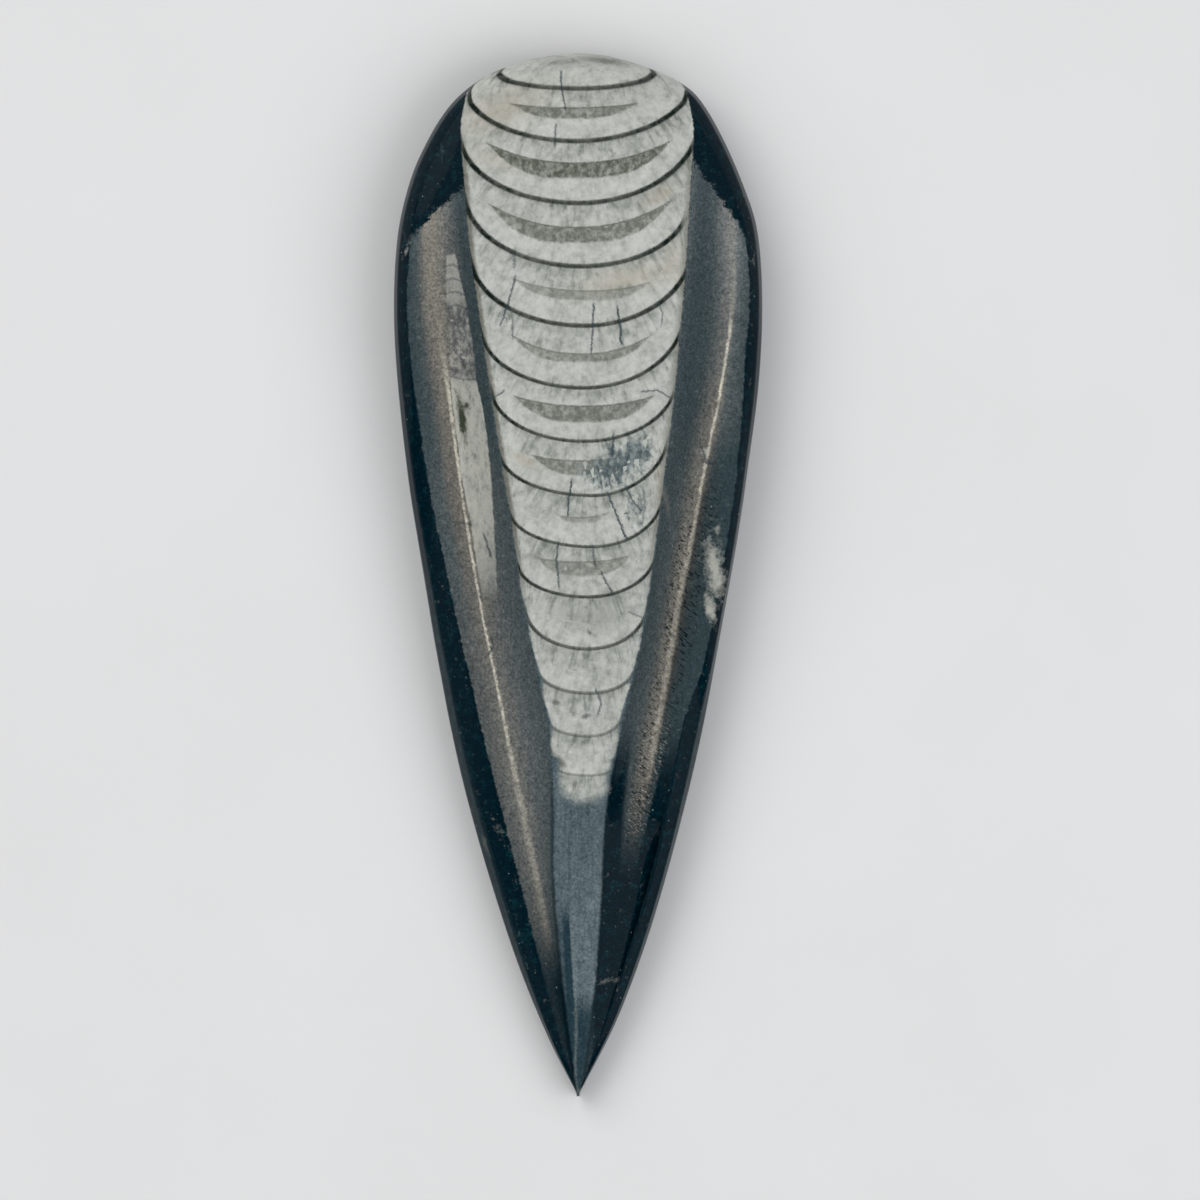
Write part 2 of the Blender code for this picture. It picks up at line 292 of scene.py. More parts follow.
rings = lofted_rings()
row_count, column_count = rings.shape[:2]
corner = np.arange(row_count * column_count).reshape(row_count, column_count)
following = np.roll(corner, -1, 1)
quads = np.stack((corner[:-1], following[:-1], following[1:], corner[1:]), -1).reshape(-1, 4)
stone_mesh = bpy.data.meshes.new("carved_stone")
caps = [corner[0].tolist(), corner[-1][::-1].tolist()]
stone_mesh.from_pydata((rings.reshape(-1, 3) * MM).tolist(), [], quads.tolist() + caps)
stone = bpy.data.objects.new("carved_stone", stone_mesh)
bpy.context.scene.collection.objects.link(stone)

form = bmesh.new()
form.from_mesh(stone_mesh)
bmesh.ops.remove_doubles(form, verts=form.verts, dist=WELD_DISTANCE * MM)
bmesh.ops.dissolve_degenerate(form, edges=form.edges, dist=WELD_DISTANCE * MM)
bmesh.ops.recalc_face_normals(form, faces=form.faces)
form.to_mesh(stone_mesh)
form.free()
stone_mesh.shade_smooth()


# The shell's markings are kept on the points of the mesh, as distances in millimetres: from the
# walls between the chambers, the grey lenses inside them, the shell's edge, the creases of the
# flutes, cracks and stains. The material draws them from these.

# Walls between the chambers, from the wide end: (left end, lowest point, right end).
CHAMBER_WALLS = [
    ((-9.58, 55.3), (0.11, 53.42), (9.47, 55.41)), ((-12.34, 52.87), (-0.22, 47.58), (12.34, 52.87)),
    ((-12.67, 46.81), (0.11, 40.76), (12.45, 46.81)), ((-12.23, 40.43), (0.44, 33.82), (11.24, 38.11)),
    ((-11.57, 33.6), (0.66, 27.32), (11.68, 32.82)), ((-10.46, 25.78), (0.66, 20.49), (10.9, 25.78)),
    ((-9.25, 19.28), (0.66, 14.65), (10.13, 18.95)), ((-8.48, 12.67), (1.54, 8.7), (9.36, 13.22)),
    ((-7.38, 6.39), (1.54, 3.08), (8.81, 6.83)), ((-6.5, 0.55), (1.1, -2.42), (8.15, 0.88)),
    ((-5.62, -4.63), (1.1, -8.15), (7.16, -5.07)), ((-4.41, -10.79), (1.21, -13.0), (6.06, -11.13)),
    ((-3.08, -16.41), (1.21, -17.73), (4.41, -16.41)), ((-2.09, -21.48), (1.21, -22.03), (3.63, -21.48))]
WALL_DARKNESS = [0.95, 1.0, 1.0, 1.0, 1.0, 0.97, 0.97, 0.95, 0.92, 0.95, 0.85, 0.7, 0.55, 0.45]
WALL_HALF_WIDTH = [0.27, 0.27, 0.27, 0.26, 0.25, 0.21, 0.19, 0.18, 0.17, 0.18, 0.19, 0.19, 0.17, 0.14]

# Grey lenses: (left tip, lowest point of the top edge, of the bottom edge, right tip, greyness).
LENSES = [
    ((-7.2, 51.7), (-0.77, 51.25), (-0.9, 50.05), (6.3, 51.75), 0.85),
    ((-9.91, 47.36), (-0.99, 45.16), (0.66, 43.51), (10.24, 47.69), 1.0),
    ((-9.69, 40.65), (-0.99, 38.11), (0.44, 36.46), (10.24, 41.09), 0.85),
    ((-6.94, 32.4), (0.11, 31.15), (0.66, 30.15), (7.93, 32.1), 0.6),
    ((-7.16, 26.22), (-0.99, 24.23), (0.66, 23.35), (7.93, 26.22), 0.75),
    ((-6.94, 19.61), (0.11, 18.51), (0.44, 16.74), (8.26, 19.61), 0.85),
    ((-4.96, 13.11), (0.44, 12.56), (0.66, 11.02), (7.93, 13.77), 0.8),
    ((-2.3, 6.6), (0.44, 6.3), (0.44, 5.75), (3.3, 6.8), 0.55),
    ((-4.41, 1.87), (0.66, 1.43), (0.66, -0.11), (5.73, 2.09), 0.65)]

# Hairline cracks and scratches: (darkness, points).
CRACKS = [
    (0.8, [(-1.87, 54.96), (-1.8, 53.4), (-1.43, 51.33)]), (0.7, [(-2.42, 49.02), (-2.53, 47.4)]),
    (0.6, [(-6.94, 35.2), (-7.0, 34.0)]), (0.8, [(-6.94, 32.38), (-7.4, 30.6), (-8.37, 27.76)]),
    (0.6, [(-7.2, 28.0), (-7.16, 26.3)]), (0.8, [(1.76, 29.4), (1.6, 27.0), (1.5, 24.67)]),
    (0.9, [(4.4, 29.0), (4.63, 27.4), (4.74, 25.66)]), (0.6, [(9.0, 29.4), (9.3, 28.6), (9.15, 27.8)]),
    (0.9, [(-0.72, 10.1), (-0.95, 8.6), (-1.1, 6.94)]), (0.9, [(3.4, 8.7), (4.1, 6.8), (5.2, 4.3)]),
    (0.7, [(5.3, 9.5), (5.9, 8.4), (6.7, 7.3)]), (0.5, [(7.2, 9.0), (7.4, 7.6), (7.1, 6.0)]),
    (0.8, [(-2.2, 3.1), (-2.35, 1.4), (-2.1, -1.0)]), (0.7, [(1.6, 2.9), (1.85, 1.3)]),
    (0.8, [(2.7, 0.0), (3.1, -0.8), (3.65, -1.7)]), (0.8, [(-10.25, 4.1), (-9.7, 2.4)]),
    (0.5, [(-13.3, 5.75), (-12.2, 5.6)]), (0.7, [(-10.2, 19.2), (-9.3, 19.4), (-8.4, 20.0)]),
    (0.7, [(7.3, 20.1), (8.6, 20.3), (9.9, 19.6)]), (0.8, [(3.9, 15.1), (3.75, 13.2)]),
    (0.6, [(2.3, 11.4), (2.6, 9.9)]), (0.6, [(3.2, 11.3), (3.6, 9.8)]), (0.5, [(4.0, 11.2), (4.4, 10.2)]),
    (0.7, [(2.1, -12.9), (2.55, -13.9), (2.3, -15.0)]), (0.35, [(0.75, -13.6), (0.85, -15.4)]),
    (0.5, [(5.9, -4.2), (6.9, -4.6)]),
    (0.5, [(-15.0, 47.0), (-14.9, 45.6)]), (0.4, [(-19.2, 37.6), (-18.4, 35.9)]),
    (0.45, [(-4.2, -26.9), (-3.2, -27.5)]), (0.6, [(17.3, 28.25), (18.5, 27.75)]),
    (0.8, [(14.1, 12.4), (14.9, 12.2)]), (0.7, [(13.6, 14.0), (13.9, 13.1), (14.3, 12.6)]),
    (0.8, [(-9.5, -7.0), (-9.3, -7.8), (-9.7, -8.5)]),
    # Chamber walls of the small shell in the left flute.
    (0.5, [(-14.45, 33.95), (-13.8, 34.1), (-13.2, 33.85)]),
    (0.5, [(-14.45, 32.4), (-13.7, 32.6), (-12.9, 32.3)]),
    (0.5, [(-14.4, 30.95), (-13.6, 31.15), (-12.6, 30.8)]),
    (0.45, [(-14.3, 29.3), (-13.4, 29.65), (-12.2, 29.2)]),
    (0.55, [(-13.6, 21.7), (-12.6, 21.45), (-11.4, 21.5)])]

# Soft stains: (kind, middle, half length across and along, turn in degrees, strength).
STAINS = [
    ("tan", (-8.6, 51.0), (4.2, 1.7), 20, 0.8), ("tan", (5.2, 32.4), (4.6, 1.2), 12, 0.75),
    ("tan", (8.9, 41.6), (1.6, 0.7), 30, 0.9), ("tan", (10.4, 34.6), (0.9, 2.2), 0, 0.5),
    ("tan", (-9.0, 45.4), (2.4, 0.8), -25, 0.5), ("tan", (9.6, 8.4), (0.6, 4.2), 12, 0.7),
    ("tan", (-5.8, 12.6), (1.5, 0.5), -20, 0.8), ("tan", (-10.5, -29.8), (0.55, 1.6), 14, 1.0),
    ("tan", (0.2, -56.9), (0.35, 0.5), 0, 0.7), ("tan", (0.9, 17.7), (0.8, 0.5), 0, 0.4),
    ("blue", (5.0, 12.2), (4.0, 1.7), 17, 1.25), ("blue", (5.9, 18.8), (2.1, 0.6), 18, 0.55),
    ("blue", (6.6, 14.6), (1.6, 1.5), 0, 0.7), ("blue", (3.4, 14.3), (0.6, 1.0), 0, 0.7),
    ("blue", (6.3, 7.4), (1.8, 2.4), 0, 0.8), ("blue", (1.0, 11.9), (1.3, 0.9), 5, 0.35),
    ("blue", (3.0, 10.2), (1.9, 0.8), 8, 0.5), ("blue", (-1.4, 1.0), (0.9, 1.3), 0, 0.5),
    ("grey", (-1.6, 56.4), (2.8, 0.45), 4, 0.75), ("grey", (3.6, 56.5), (2.8, 0.55), -8, 0.95),
    ("grey", (5.6, 51.4), (2.2, 1.6), 0, 0.35), ("grey", (2.6, -4.6), (3.0, 1.8), 20, 0.5),
    ("grey", (-1.2, -4.0), (2.2, 1.4), 0, 0.3), ("grey", (3.2, -1.9), (0.9, 0.7), 0, 0.6),
    ("grey", (-2.4, -14.0), (0.5, 0.3), -20, 1.4), ("grey", (0.9, -15.5), (0.7, 0.3), 12, 1.0),
    ("grey", (-0.5, -15.3), (0.3, 0.3), 0, 0.9), ("grey", (1.25, -6.3), (0.28, 0.16), -40, 1.4),
    ("grey", (-3.0, -19.3), (0.4, 1.5), 35, 0.8), ("grey", (3.9, -19.5), (0.35, 1.2), -15, 0.5),
    ("grey", (-1.9, -20.6), (0.5, 0.8), 40, 1.2), ("grey", (-5.2, -11.9), (0.3, 1.2), 25, 0.6),
    ("grey", (-8.7, 36.0), (0.9, 1.2), 0, 0.3),
    ("grey", (-8.7, 30.3), (0.5, 0.8), 0, 0.5), ("grey", (-9.9, 19.9), (0.6, 0.5), 0, 0.5),
    ("core", (-12.75, 17.2), (0.4, 2.6), 9, 1.1), ("core", (-12.2, 18.6), (0.35, 0.5), 0, 0.8),
    ("core", (-13.2, 26.9), (0.25, 0.25), 0, 0.7), ("core", (-12.5, 23.0), (0.3, 0.35), 0, 0.9),
    ("pale", (-13.85, 28.0), (0.2, 0.16), 0, 1.2), ("pale", (-12.1, 27.5), (0.15, 0.12), 0, 1.2),
    ("pale", (-13.3, 26.35), (0.14, 0.2), 0, 1.0), ("pale", (-12.9, 24.6), (0.3, 0.14), 12, 1.0),
    ("pale", (-12.5, 23.9), (0.5, 0.18), -18, 1.1), ("pale", (-12.55, 21.2), (0.16, 0.12), 0, 1.2),
    ("pale", (15.0, 0.6), (0.9, 3.2), 12, 1.1), ("pale", (14.5, -3.7), (0.55, 1.7), 14, 1.0),
    ("pale", (15.5, 4.6), (0.4, 2.4), 10, 0.35), ("pale", (14.0, 13.6), (0.5, 0.6), 0, 0.7),
    ("pale", (-9.5, -8.6), (0.35, 0.35), 0, 0.7), ("pale", (3.3, -44.6), (1.3, 0.35), 6, 0.5),
    ("pale", (-9.0, -27.6), (0.5, 2.4), 20, 0.26), ("pale", (19.35, 34.8), (0.25, 0.9), 0, 0.45),
    ("pale", (-18.9, 35.6), (0.22, 1.5), -18, 0.6)]

# Edges of the small shell in the left flute: (place along, place across).
SMALL_SHELL_LEFT = [(35.25, -14.54), (30.3, -14.5), (28.1, -14.2), (22.6, -14.1), (19.3, -13.9),
                    (14.9, -13.3), (10.5, -12.8), (6.1, -11.9), (1.65, -11.25), (-3.5, -10.4)]
SMALL_SHELL_RIGHT = [(35.25, -13.4), (32.5, -12.9), (30.3, -12.35), (27.5, -11.9), (24.8, -11.45),
                     (21.5, -11.15), (18.2, -10.4), (11.6, -9.6), (6.1, -9.25), (1.65, -9.0), (-3.5, -8.8)]
SMALL_SHELL_ENDS = (-3.0, 35.25)  # places along

# How clear the small shell is: (place along, clearness).
SMALL_SHELL_TONE = [(57.5, 0.0), (35.0, 0.7), (28.0, 0.65), (22.0, 0.8), (20.0, 1.0), (10.0, 1.0),
                    (4.0, 0.8), (-1.0, 0.4), (-3.0, 0.0), (-57.5, 0.0)]

# Painted light and shade on the flutes, over the ground stone's own brown tone: (place across, tone),
# where -1 is the shell's edge, 0 the crease and 1 the rim, near the wide end (top) and toward the
# point (low); and (place along, factor). Lighter where a wall lies flat to the light, painted shade
# where it is steep or turns away.
LEFT_FLUTE_PAINTED_LIGHT_TOP = [(-1.0, 0.10), (-0.8, 0.14), (-0.5, 0.45), (-0.15, 0.72), (0.05, 0.8),
                        (0.3, 0.7), (0.55, 0.34), (1.0, 0.08)]
LEFT_FLUTE_PAINTED_LIGHT_LOW = [(-1.0, 0.32), (-0.8, 0.46), (-0.5, 0.58), (-0.15, 0.68), (0.0, 0.76),
                        (0.3, 0.62), (0.7, 0.48), (1.0, 0.40)]
LEFT_PAINTED_LIGHT_ALONG = [(57.5, 1.25), (38.0, 1.25), (30.0, 0.95), (15.0, 0.7), (0.0, 0.68), (-15.0, 0.75),
                    (-30.0, 0.75), (-36.0, 0.6), (-42.0, 0.25), (-46.0, 0.05), (-57.5, 0.0)]
LEFT_FLUTE_WARM_LOW = [(-1.0, 0.12), (-0.6, 0.26), (-0.2, 0.5), (0.0, 0.68), (0.4, 0.55), (1.0, 0.45)]
LEFT_FLUTE_WARM_TOP = [(-1.0, 0.1), (-0.8, 0.2), (-0.4, 0.5), (0.0, 0.85), (0.35, 0.7), (0.6, 0.3),
                       (1.0, 0.08)]
RIGHT_FLUTE_PAINTED_LIGHT_TOP = [(-1.0, 0.32), (-0.7, 0.14), (-0.45, 0.22), (-0.2, 0.55), (0.0, 0.8),
                         (0.3, 0.52), (0.7, 0.37), (1.0, 0.26)]
RIGHT_FLUTE_PAINTED_LIGHT_LOW = [(-1.0, 0.2), (-0.75, 0.3), (-0.45, 0.46), (-0.12, 0.8), (-0.02, 0.6),
                         (0.12, 0.1), (0.4, -0.25), (1.0, -0.3)]
RIGHT_PAINTED_LIGHT_ALONG = [(57.5, 1.5), (38.0, 1.35), (30.0, 0.9), (24.0, 0.8), (10.0, 0.85), (-10.0, 0.85),
                     (-18.0, 0.72), (-22.0, 0.5), (-27.0, 0.22), (-33.0, 0.05), (-57.5, 0.05)]
RIGHT_FLUTE_WARM = [(-1.0, 0.1), (-0.6, 0.2), (-0.35, 0.55), (0.0, 0.9), (0.3, 0.35), (1.0, 0.1)]
RIGHT_WARM_ALONG = [(57.5, 0.6), (30.0, 0.5), (15.0, 0.9), (-22.0, 1.0), (-32.0, 0.3), (-40.0, 0.0),
                    (-57.5, 0.0)]

# The pale line of each crease is a painted highlight, where the light catches the crease:
# (place along, paleness) and (place along, softness).
LEFT_CREASE_HIGHLIGHT = [(57.5, 0.0), (26.0, 0.05), (21.0, 0.7), (10.0, 0.8), (-14.0, 0.8), (-22.0, 0.38),
                    (-38.0, 0.12), (-43.0, 0.0), (-57.5, 0.0)]
LEFT_CREASE_HIGHLIGHT_SOFT = [(57.5, 1.0), (26.0, 0.8), (18.0, 0.3), (5.0, 0.1), (-16.0, 0.2), (-24.0, 0.9),
                    (-57.5, 1.5)]
RIGHT_CREASE_HIGHLIGHT = [(57.5, 0.0), (40.0, 0.0), (34.0, 0.12), (29.0, 0.25), (26.5, 0.85), (12.0, 0.75),
                     (4.0, 0.45), (-20.0, 0.3), (-24.0, 0.0), (-57.5, 0.0)]
RIGHT_CREASE_HIGHLIGHT_SOFT = [(57.5, 2.0), (40.0, 1.6), (30.0, 0.8), (26.0, 0.2), (10.0, 0.2), (0.0, 0.8),
                     (-57.5, 1.2)]

# Line down the plain band below the fossil, where a painted highlight runs: (place along, place across).
BAND_HIGHLIGHT_LINE = [(57.5, 0.0), (-34.0, -0.9), (-40.2, -0.66), (-49.0, -0.2), (-55.0, -0.3), (-57.5, 0.0)]


class ChamberWall:
    """A wall that is half an ellipse on each side of its lowest point, steep at its ends."""

    LEFT_REACH, RIGHT_REACH = 0.98, 0.92
    STEEPEST = 0.985
    NEAREST_TO_CENTRE = 0.05

    def __init__(self, start, lowest, end):
        self.x, self.y = lowest
        self.spans, self.drops = [], []
        for (tip_x, tip_y), share in ((start, self.LEFT_REACH), (end, self.RIGHT_REACH)):
            self.spans.append(abs(tip_x - self.x) / share)
            self.drops.append((tip_y - self.y) / (1 - math.sqrt(1 - share ** 2)))
        half_width, depth = (end[0] - start[0]) / 2, (start[1] + end[1]) / 2 - self.y
        self.radius = (half_width ** 2 + depth ** 2) / (2 * depth)

    def slope_and_height(self, x):
        span = np.where(x < self.x, *self.spans)
        drop = np.where(x < self.x, *self.drops)
        share = np.clip(np.abs(x - self.x) / span, 0, self.STEEPEST)
        depth = np.sqrt(1 - share ** 2)
        slope = drop / span * share / depth
        over = np.abs(x - self.x) - share * span
        return slope, self.y + drop * (1 - depth) + over * slope

    def ray_at(self, x, y):
        """Distance walked along the wall, taken as an arc, to the foot of a place."""
        below_centre = np.maximum(self.y + self.radius - y, self.NEAREST_TO_CENTRE * self.radius)
        return np.arctan2(x - self.x, below_centre) * self.radius


# Least depth of a chamber, and the depths taken for those beyond the first and the last wall.
THINNEST_CHAMBER = 1.2
FIRST_CHAMBER = 5.6
LAST_CHAMBER = 4.5


def chamber_marks(x, y):
    """Chamber count from the wide end and spacing; the place along the nearest wall, the wall's
    tone and half width, and how near its end the place is."""
    walls = [ChamberWall(*points) for points in CHAMBER_WALLS]
    slopes, tops = zip(*[wall.slope_and_height(x) for wall in walls])
    heights = [tops[0]]
    for top in tops[1:]:
        heights.append(np.minimum(top, heights[-1] - THINNEST_CHAMBER))
    heights = np.array([heights[0] + FIRST_CHAMBER] + heights + [heights[-1] - LAST_CHAMBER])
    cosines = 1 / np.sqrt(1 + np.array(slopes) ** 2)
    rays = np.array([wall.ray_at(x, y) for wall in walls])
    count = np.clip((heights > y).sum(0) - 1, 0, len(heights) - 2)
    points = np.arange(len(x))
    above, below = heights[count, points], heights[count + 1, points]
    chamber = count + (above - y) / (above - below)
    nearest = np.clip(np.rint(chamber).astype(int), 1, len(walls)) - 1
    gaps = -np.diff(heights, axis=0)
    spacing = 0.5 * (gaps[nearest, points] + gaps[nearest + 1, points]) * cosines[nearest, points]
    ray = rays[nearest, points]
    starts = np.array([wall[0][0] for wall in CHAMBER_WALLS])[nearest]
    ends = np.array([wall[2][0] for wall in CHAMBER_WALLS])[nearest]
    tone = ease((x - starts) / 0.9 + 0.9) * ease((ends - x) / 0.9 + 0.9)
    tone = tone * np.array(WALL_DARKNESS)[nearest] * ease((chamber - 0.5) / 0.2)
    tone = tone * ease((len(walls) + 0.5 - chamber) / 0.2)
    to_end = np.minimum(x - starts, ends - x) / (ends - starts)
    return chamber, spacing, ray, tone, np.array(WALL_HALF_WIDTH)[nearest], ease((0.3 - to_end) / 0.28)


LENS_TOP_POWER = 2.2
LENS_LOW_POWER = 3.2


def lens_marks(x, y):
    """Distance inside the nearest grey lens, distance under its top edge, and its greyness."""
    inside, under, grey = np.full(x.shape, -9.0), np.full(x.shape, -9.0), np.zeros(x.shape)
    for start, top, bottom, end, greyness in LENSES:
        share = np.clip((x - start[0]) / (end[0] - start[0]), -0.1, 1.1)
        tips, off_middle = mix(start[1], end[1], share), np.abs(2 * share - 1)
        halfway = mix(start[1], end[1], 0.5)
        top_edge = tips + (top[1] - halfway) * (1 - off_middle ** LENS_TOP_POWER) - y
        low_edge = tips + (bottom[1] - halfway) * (1 - off_middle ** LENS_LOW_POWER)
        this = np.minimum(top_edge, y - low_edge)
        this = np.where((x < start[0] - 1) | (x > end[0] + 1), -9.0, this)
        closer = this > inside
        inside, under = np.where(closer, this, inside), np.where(closer, top_edge, under)
        grey = np.where(closer, greyness, grey)
    return inside, under, grey


CRACK_REACH = 0.62
CRACK_FADE = 0.3


def crack_marks(x, y):
    """Signed distance from the nearest crack, and the crack's darkness, which fades away from it."""
    nearest, across, dark = np.full(x.shape, 9.0), np.full(x.shape, 1.0), np.zeros(x.shape)
    for darkness, points in CRACKS:
        for (ax, ay), (bx, by) in zip(points, points[1:]):
            length = math.hypot(bx - ax, by - ay)
            along = ((x - ax) * (bx - ax) + (y - ay) * (by - ay)) / length
            side = ((x - ax) * (by - ay) - (y - ay) * (bx - ax)) / length
            distance = np.hypot(side, along - np.clip(along, 0, length))
            closer = distance < nearest
            nearest, across = np.where(closer, distance, nearest), np.where(closer, side, across)
            dark = np.where(closer, darkness, dark)
    return np.clip(across, -1, 1), dark * ease((CRACK_REACH - nearest) / CRACK_FADE)


STAIN_FALL_OFF = 0.9
STRONGEST_STAIN = 1.5


def stain_marks(x, y, kind):
    """Strength of the stains of one kind, each a soft turned oval."""
    strength = np.zeros(x.shape)
    for name, (across, along), (half_across, half_along), turn, amount in STAINS:
        if name == kind:
            cosine, sine = math.cos(math.radians(turn)), math.sin(math.radians(turn))
            u = ((x - across) * cosine + (y - along) * sine) / half_across
            v = ((y - along) * cosine - (x - across) * sine) / half_along
            strength += amount * np.exp(-STAIN_FALL_OFF * (u * u + v * v))
    return np.minimum(strength, STRONGEST_STAIN)


# The shell's edge is pinched in at the last walls. Its narrow end is round, and at the wide end it
# stops on the side wall at a curve like the brim of a bowl.
PINCH_START = 9.6
PINCH_DEPTH = 0.34
NARROW_END_START = -20.0
NARROW_END = (0.75, -22.5)
NARROW_END_REACH = (2.95, 2.6)
WIDE_END_START = 40.0
BOWL_BRIM = 7.6
BOWL_DEPTH = 6.2
BOWL_HALF_WIDTH = 12.6
ROLL_OVER = 9.0


def edge_distance(x, y, z, chamber):
    """Distance inside the fossil: to the shell's edge, its narrow end, and its brim at the wide end."""
    shell = np.where(x < 0, left_side.shell(y), right_side.shell(y))
    at_wall = 0.5 + 0.5 * np.cos(2 * math.pi * (chamber - 0.06))
    inside = shell - np.abs(x) - ease((chamber - PINCH_START) / 3) * PINCH_DEPTH * at_wall
    (end_x, end_y), (reach_x, reach_y) = NARROW_END, NARROW_END_REACH
    end = reach_y * (1 - np.hypot((x - end_x) / reach_x, np.minimum(y - end_y, 0) / reach_y))
    inside = np.where(y < NARROW_END_START, np.minimum(inside, end), inside)
    bowl = BOWL_BRIM - BOWL_DEPTH * np.sqrt(np.clip(1 - (x / BOWL_HALF_WIDTH) ** 2, 0, 1))
    return np.where(y > WIDE_END_START, np.minimum(inside, (z - bowl) * 0.8), inside)


def surface_marks(x, y, z):
    """All the marks at places on the stone, each a number for every place."""
    out = np.abs(x)
    sides = [(left_side, x < 0), (right_side, x >= 0)]

    def by_side(measure):
        return sum(np.where(here, measure(side), 0) for side, here in sides)

    def left_or_right(left_knots, right_knots):
        return np.where(x < 0, smooth_line(left_knots)(y), smooth_line(right_knots)(y))

    # Over the rolled wide end, the markings follow the surface outward instead of the plan.
    rim_z = rim_height(y)
    drop = np.where(y > WIDE_END_START, np.maximum(rim_z - z, 0), 0)
    reach = np.sign(x + 1e-6) * np.sqrt(x ** 2 + ROLL_OVER * drop)
    chamber, spacing, ray, wall_tone, wall_half_width, wall_end = chamber_marks(reach, y)
    lens, lens_top, lens_grey = lens_marks(x, y)
    crack, crack_tone = crack_marks(x, y)

    crease = by_side(lambda side: out - side.crease(y))
    rim = by_side(lambda side: side.distance_in(out, y) - side.margin(y))
    # What lies near the rim but lower than it belongs to the margin.
    rim = np.where((z < rim_z - 0.3) & (rim < 0.4), -1.0, rim)
    small_shell = np.minimum(x - smooth_line(SMALL_SHELL_LEFT)(y), smooth_line(SMALL_SHELL_RIGHT)(y) - x)
    low_end, top_end = SMALL_SHELL_ENDS
    small_shell = np.minimum(small_shell, np.minimum(top_end - y, y - low_end))

    # Place across each flute: -1 at the shell's edge, 0 at the crease, 1 at the rim.
    shell_gap = by_side(lambda side: side.crease(y) - side.shell(y))
    across = np.where(crease < 0, crease / np.maximum(shell_gap, 0.2),
                      crease / np.maximum(crease + rim, 0.2))
    across = np.clip(across, -1, 1)

    def across_flute(low_knots, top_knots, toward_top):
        return mix(smooth_line(low_knots)(across), smooth_line(top_knots)(across), toward_top)

    toward_top = ease((y - 6) / 14)
    left_painted_light = across_flute(LEFT_FLUTE_PAINTED_LIGHT_LOW, LEFT_FLUTE_PAINTED_LIGHT_TOP, toward_top)
    right_painted_light = across_flute(RIGHT_FLUTE_PAINTED_LIGHT_LOW, RIGHT_FLUTE_PAINTED_LIGHT_TOP, toward_top)
    left_warm = across_flute(LEFT_FLUTE_WARM_LOW, LEFT_FLUTE_WARM_TOP, ease((y + 12) / 20))
    right_warm = smooth_line(RIGHT_FLUTE_WARM)(across) * smooth_line(RIGHT_WARM_ALONG)(y)

    # Strokes of the wheel low in the right flute, and the polish that takes over below them.
    strokes = ease(x - 3) * ease((y + 36) / 8) * ease((14 - y) / 8) * ease((across + 0.55) / 0.3)
    strokes = strokes * ease((0.75 - across) / 0.3)
    inner_flute = ease((across + 0.7) / 0.35) * ease((0.5 - across) / 0.3)
    polish_start = np.where(x < 0, -38, mix(-15, -26, inner_flute))
    polish = ease((polish_start - y) / 8) * np.where(x < 0, 0.85, ease(x - 1))
    # Painted reflection of the pale floor on the steep strip along the lower edge, toward the point.
    floor_reflection_strip = by_side(lambda side: STRIP_SHARE * side.margin(y) + 0.15 - side.distance_in(out, y))
    floor_reflection_strip = ease(floor_reflection_strip / 0.3) * ease((z - side_height(y)) / 0.5) * ease((8 - y) / 20)

    # Painted light and shade on the plain band: lighter right of its middle line, which faces the light,
    # with painted shade in a strip just left of it.
    band_line_offset = x - smooth_line(BAND_HIGHLIGHT_LINE)(y)
    lit_right_of_line = ease((band_line_offset + 0.2) / 0.6) * ease((-30 - y) / 10)
    shaded_strip = ease((-36 - y) / 4) * ease((-band_line_offset - 0.05) / 0.3)
    strip_depth = 0.2 + 0.6 * ease((1.1 + band_line_offset) / 0.4)
    near_face = ease((z - rim_z + 2.6) / 1.8)
    return {
        "chamber": chamber, "spacing": spacing, "ray": ray,
        "wall_tone": wall_tone, "wall_half_width": wall_half_width, "wall_end": wall_end,
        "lens": lens, "lens_top": lens_top, "lens_grey": lens_grey,
        "crack": crack, "crack_tone": crack_tone,
        "inside_shell": edge_distance(x, y, z, chamber),
        "shell_line": by_side(lambda side: side.shell(y) - out),
        "flute_cut": by_side(lambda side: side.flute_share(out, y)),
        "flute_end": by_side(lambda side: side.past_flute_end(out, y)),
        "flute_painted_light": np.where(x < 0, left_painted_light * smooth_line(LEFT_PAINTED_LIGHT_ALONG)(y),
                                right_painted_light * smooth_line(RIGHT_PAINTED_LIGHT_ALONG)(y)),
        "flute_warm": np.where(x < 0, left_warm * ease((y + 48) / 9), right_warm),
        "crease": crease,
        "crease_highlight": left_or_right(LEFT_CREASE_HIGHLIGHT, RIGHT_CREASE_HIGHLIGHT),
        "crease_highlight_soft": left_or_right(LEFT_CREASE_HIGHLIGHT_SOFT, RIGHT_CREASE_HIGHLIGHT_SOFT),
        "rim": rim, "floor_reflection_strip": floor_reflection_strip, "strokes": strokes, "polish": polish,
        "small_shell": small_shell, "small_tone": smooth_line(SMALL_SHELL_TONE)(y),
        "tan": stain_marks(x, y, "tan") * np.where(y > WIDE_END_START, 1, near_face),
        "blue": stain_marks(x, y, "blue"), "grey": stain_marks(x, y, "grey"),
        "core": stain_marks(x, y, "core"), "pale": stain_marks(x, y, "pale") * near_face,
        "band_line_offset": band_line_offset, "band_highlight_tone": ease((-36 - y) / 5),
        "band_light_and_shade": 0.40 + 0.15 * lit_right_of_line - shaded_strip * strip_depth}


points = np.empty(len(stone_mesh.vertices) * 3)
stone_mesh.vertices.foreach_get("co", points)
for name, values in surface_marks(*(points.reshape(-1, 3).T / MM)).items():
    kept = stone_mesh.attributes.new(name, "FLOAT", "POINT")
    kept.data.foreach_set("value", values.astype(np.float32))

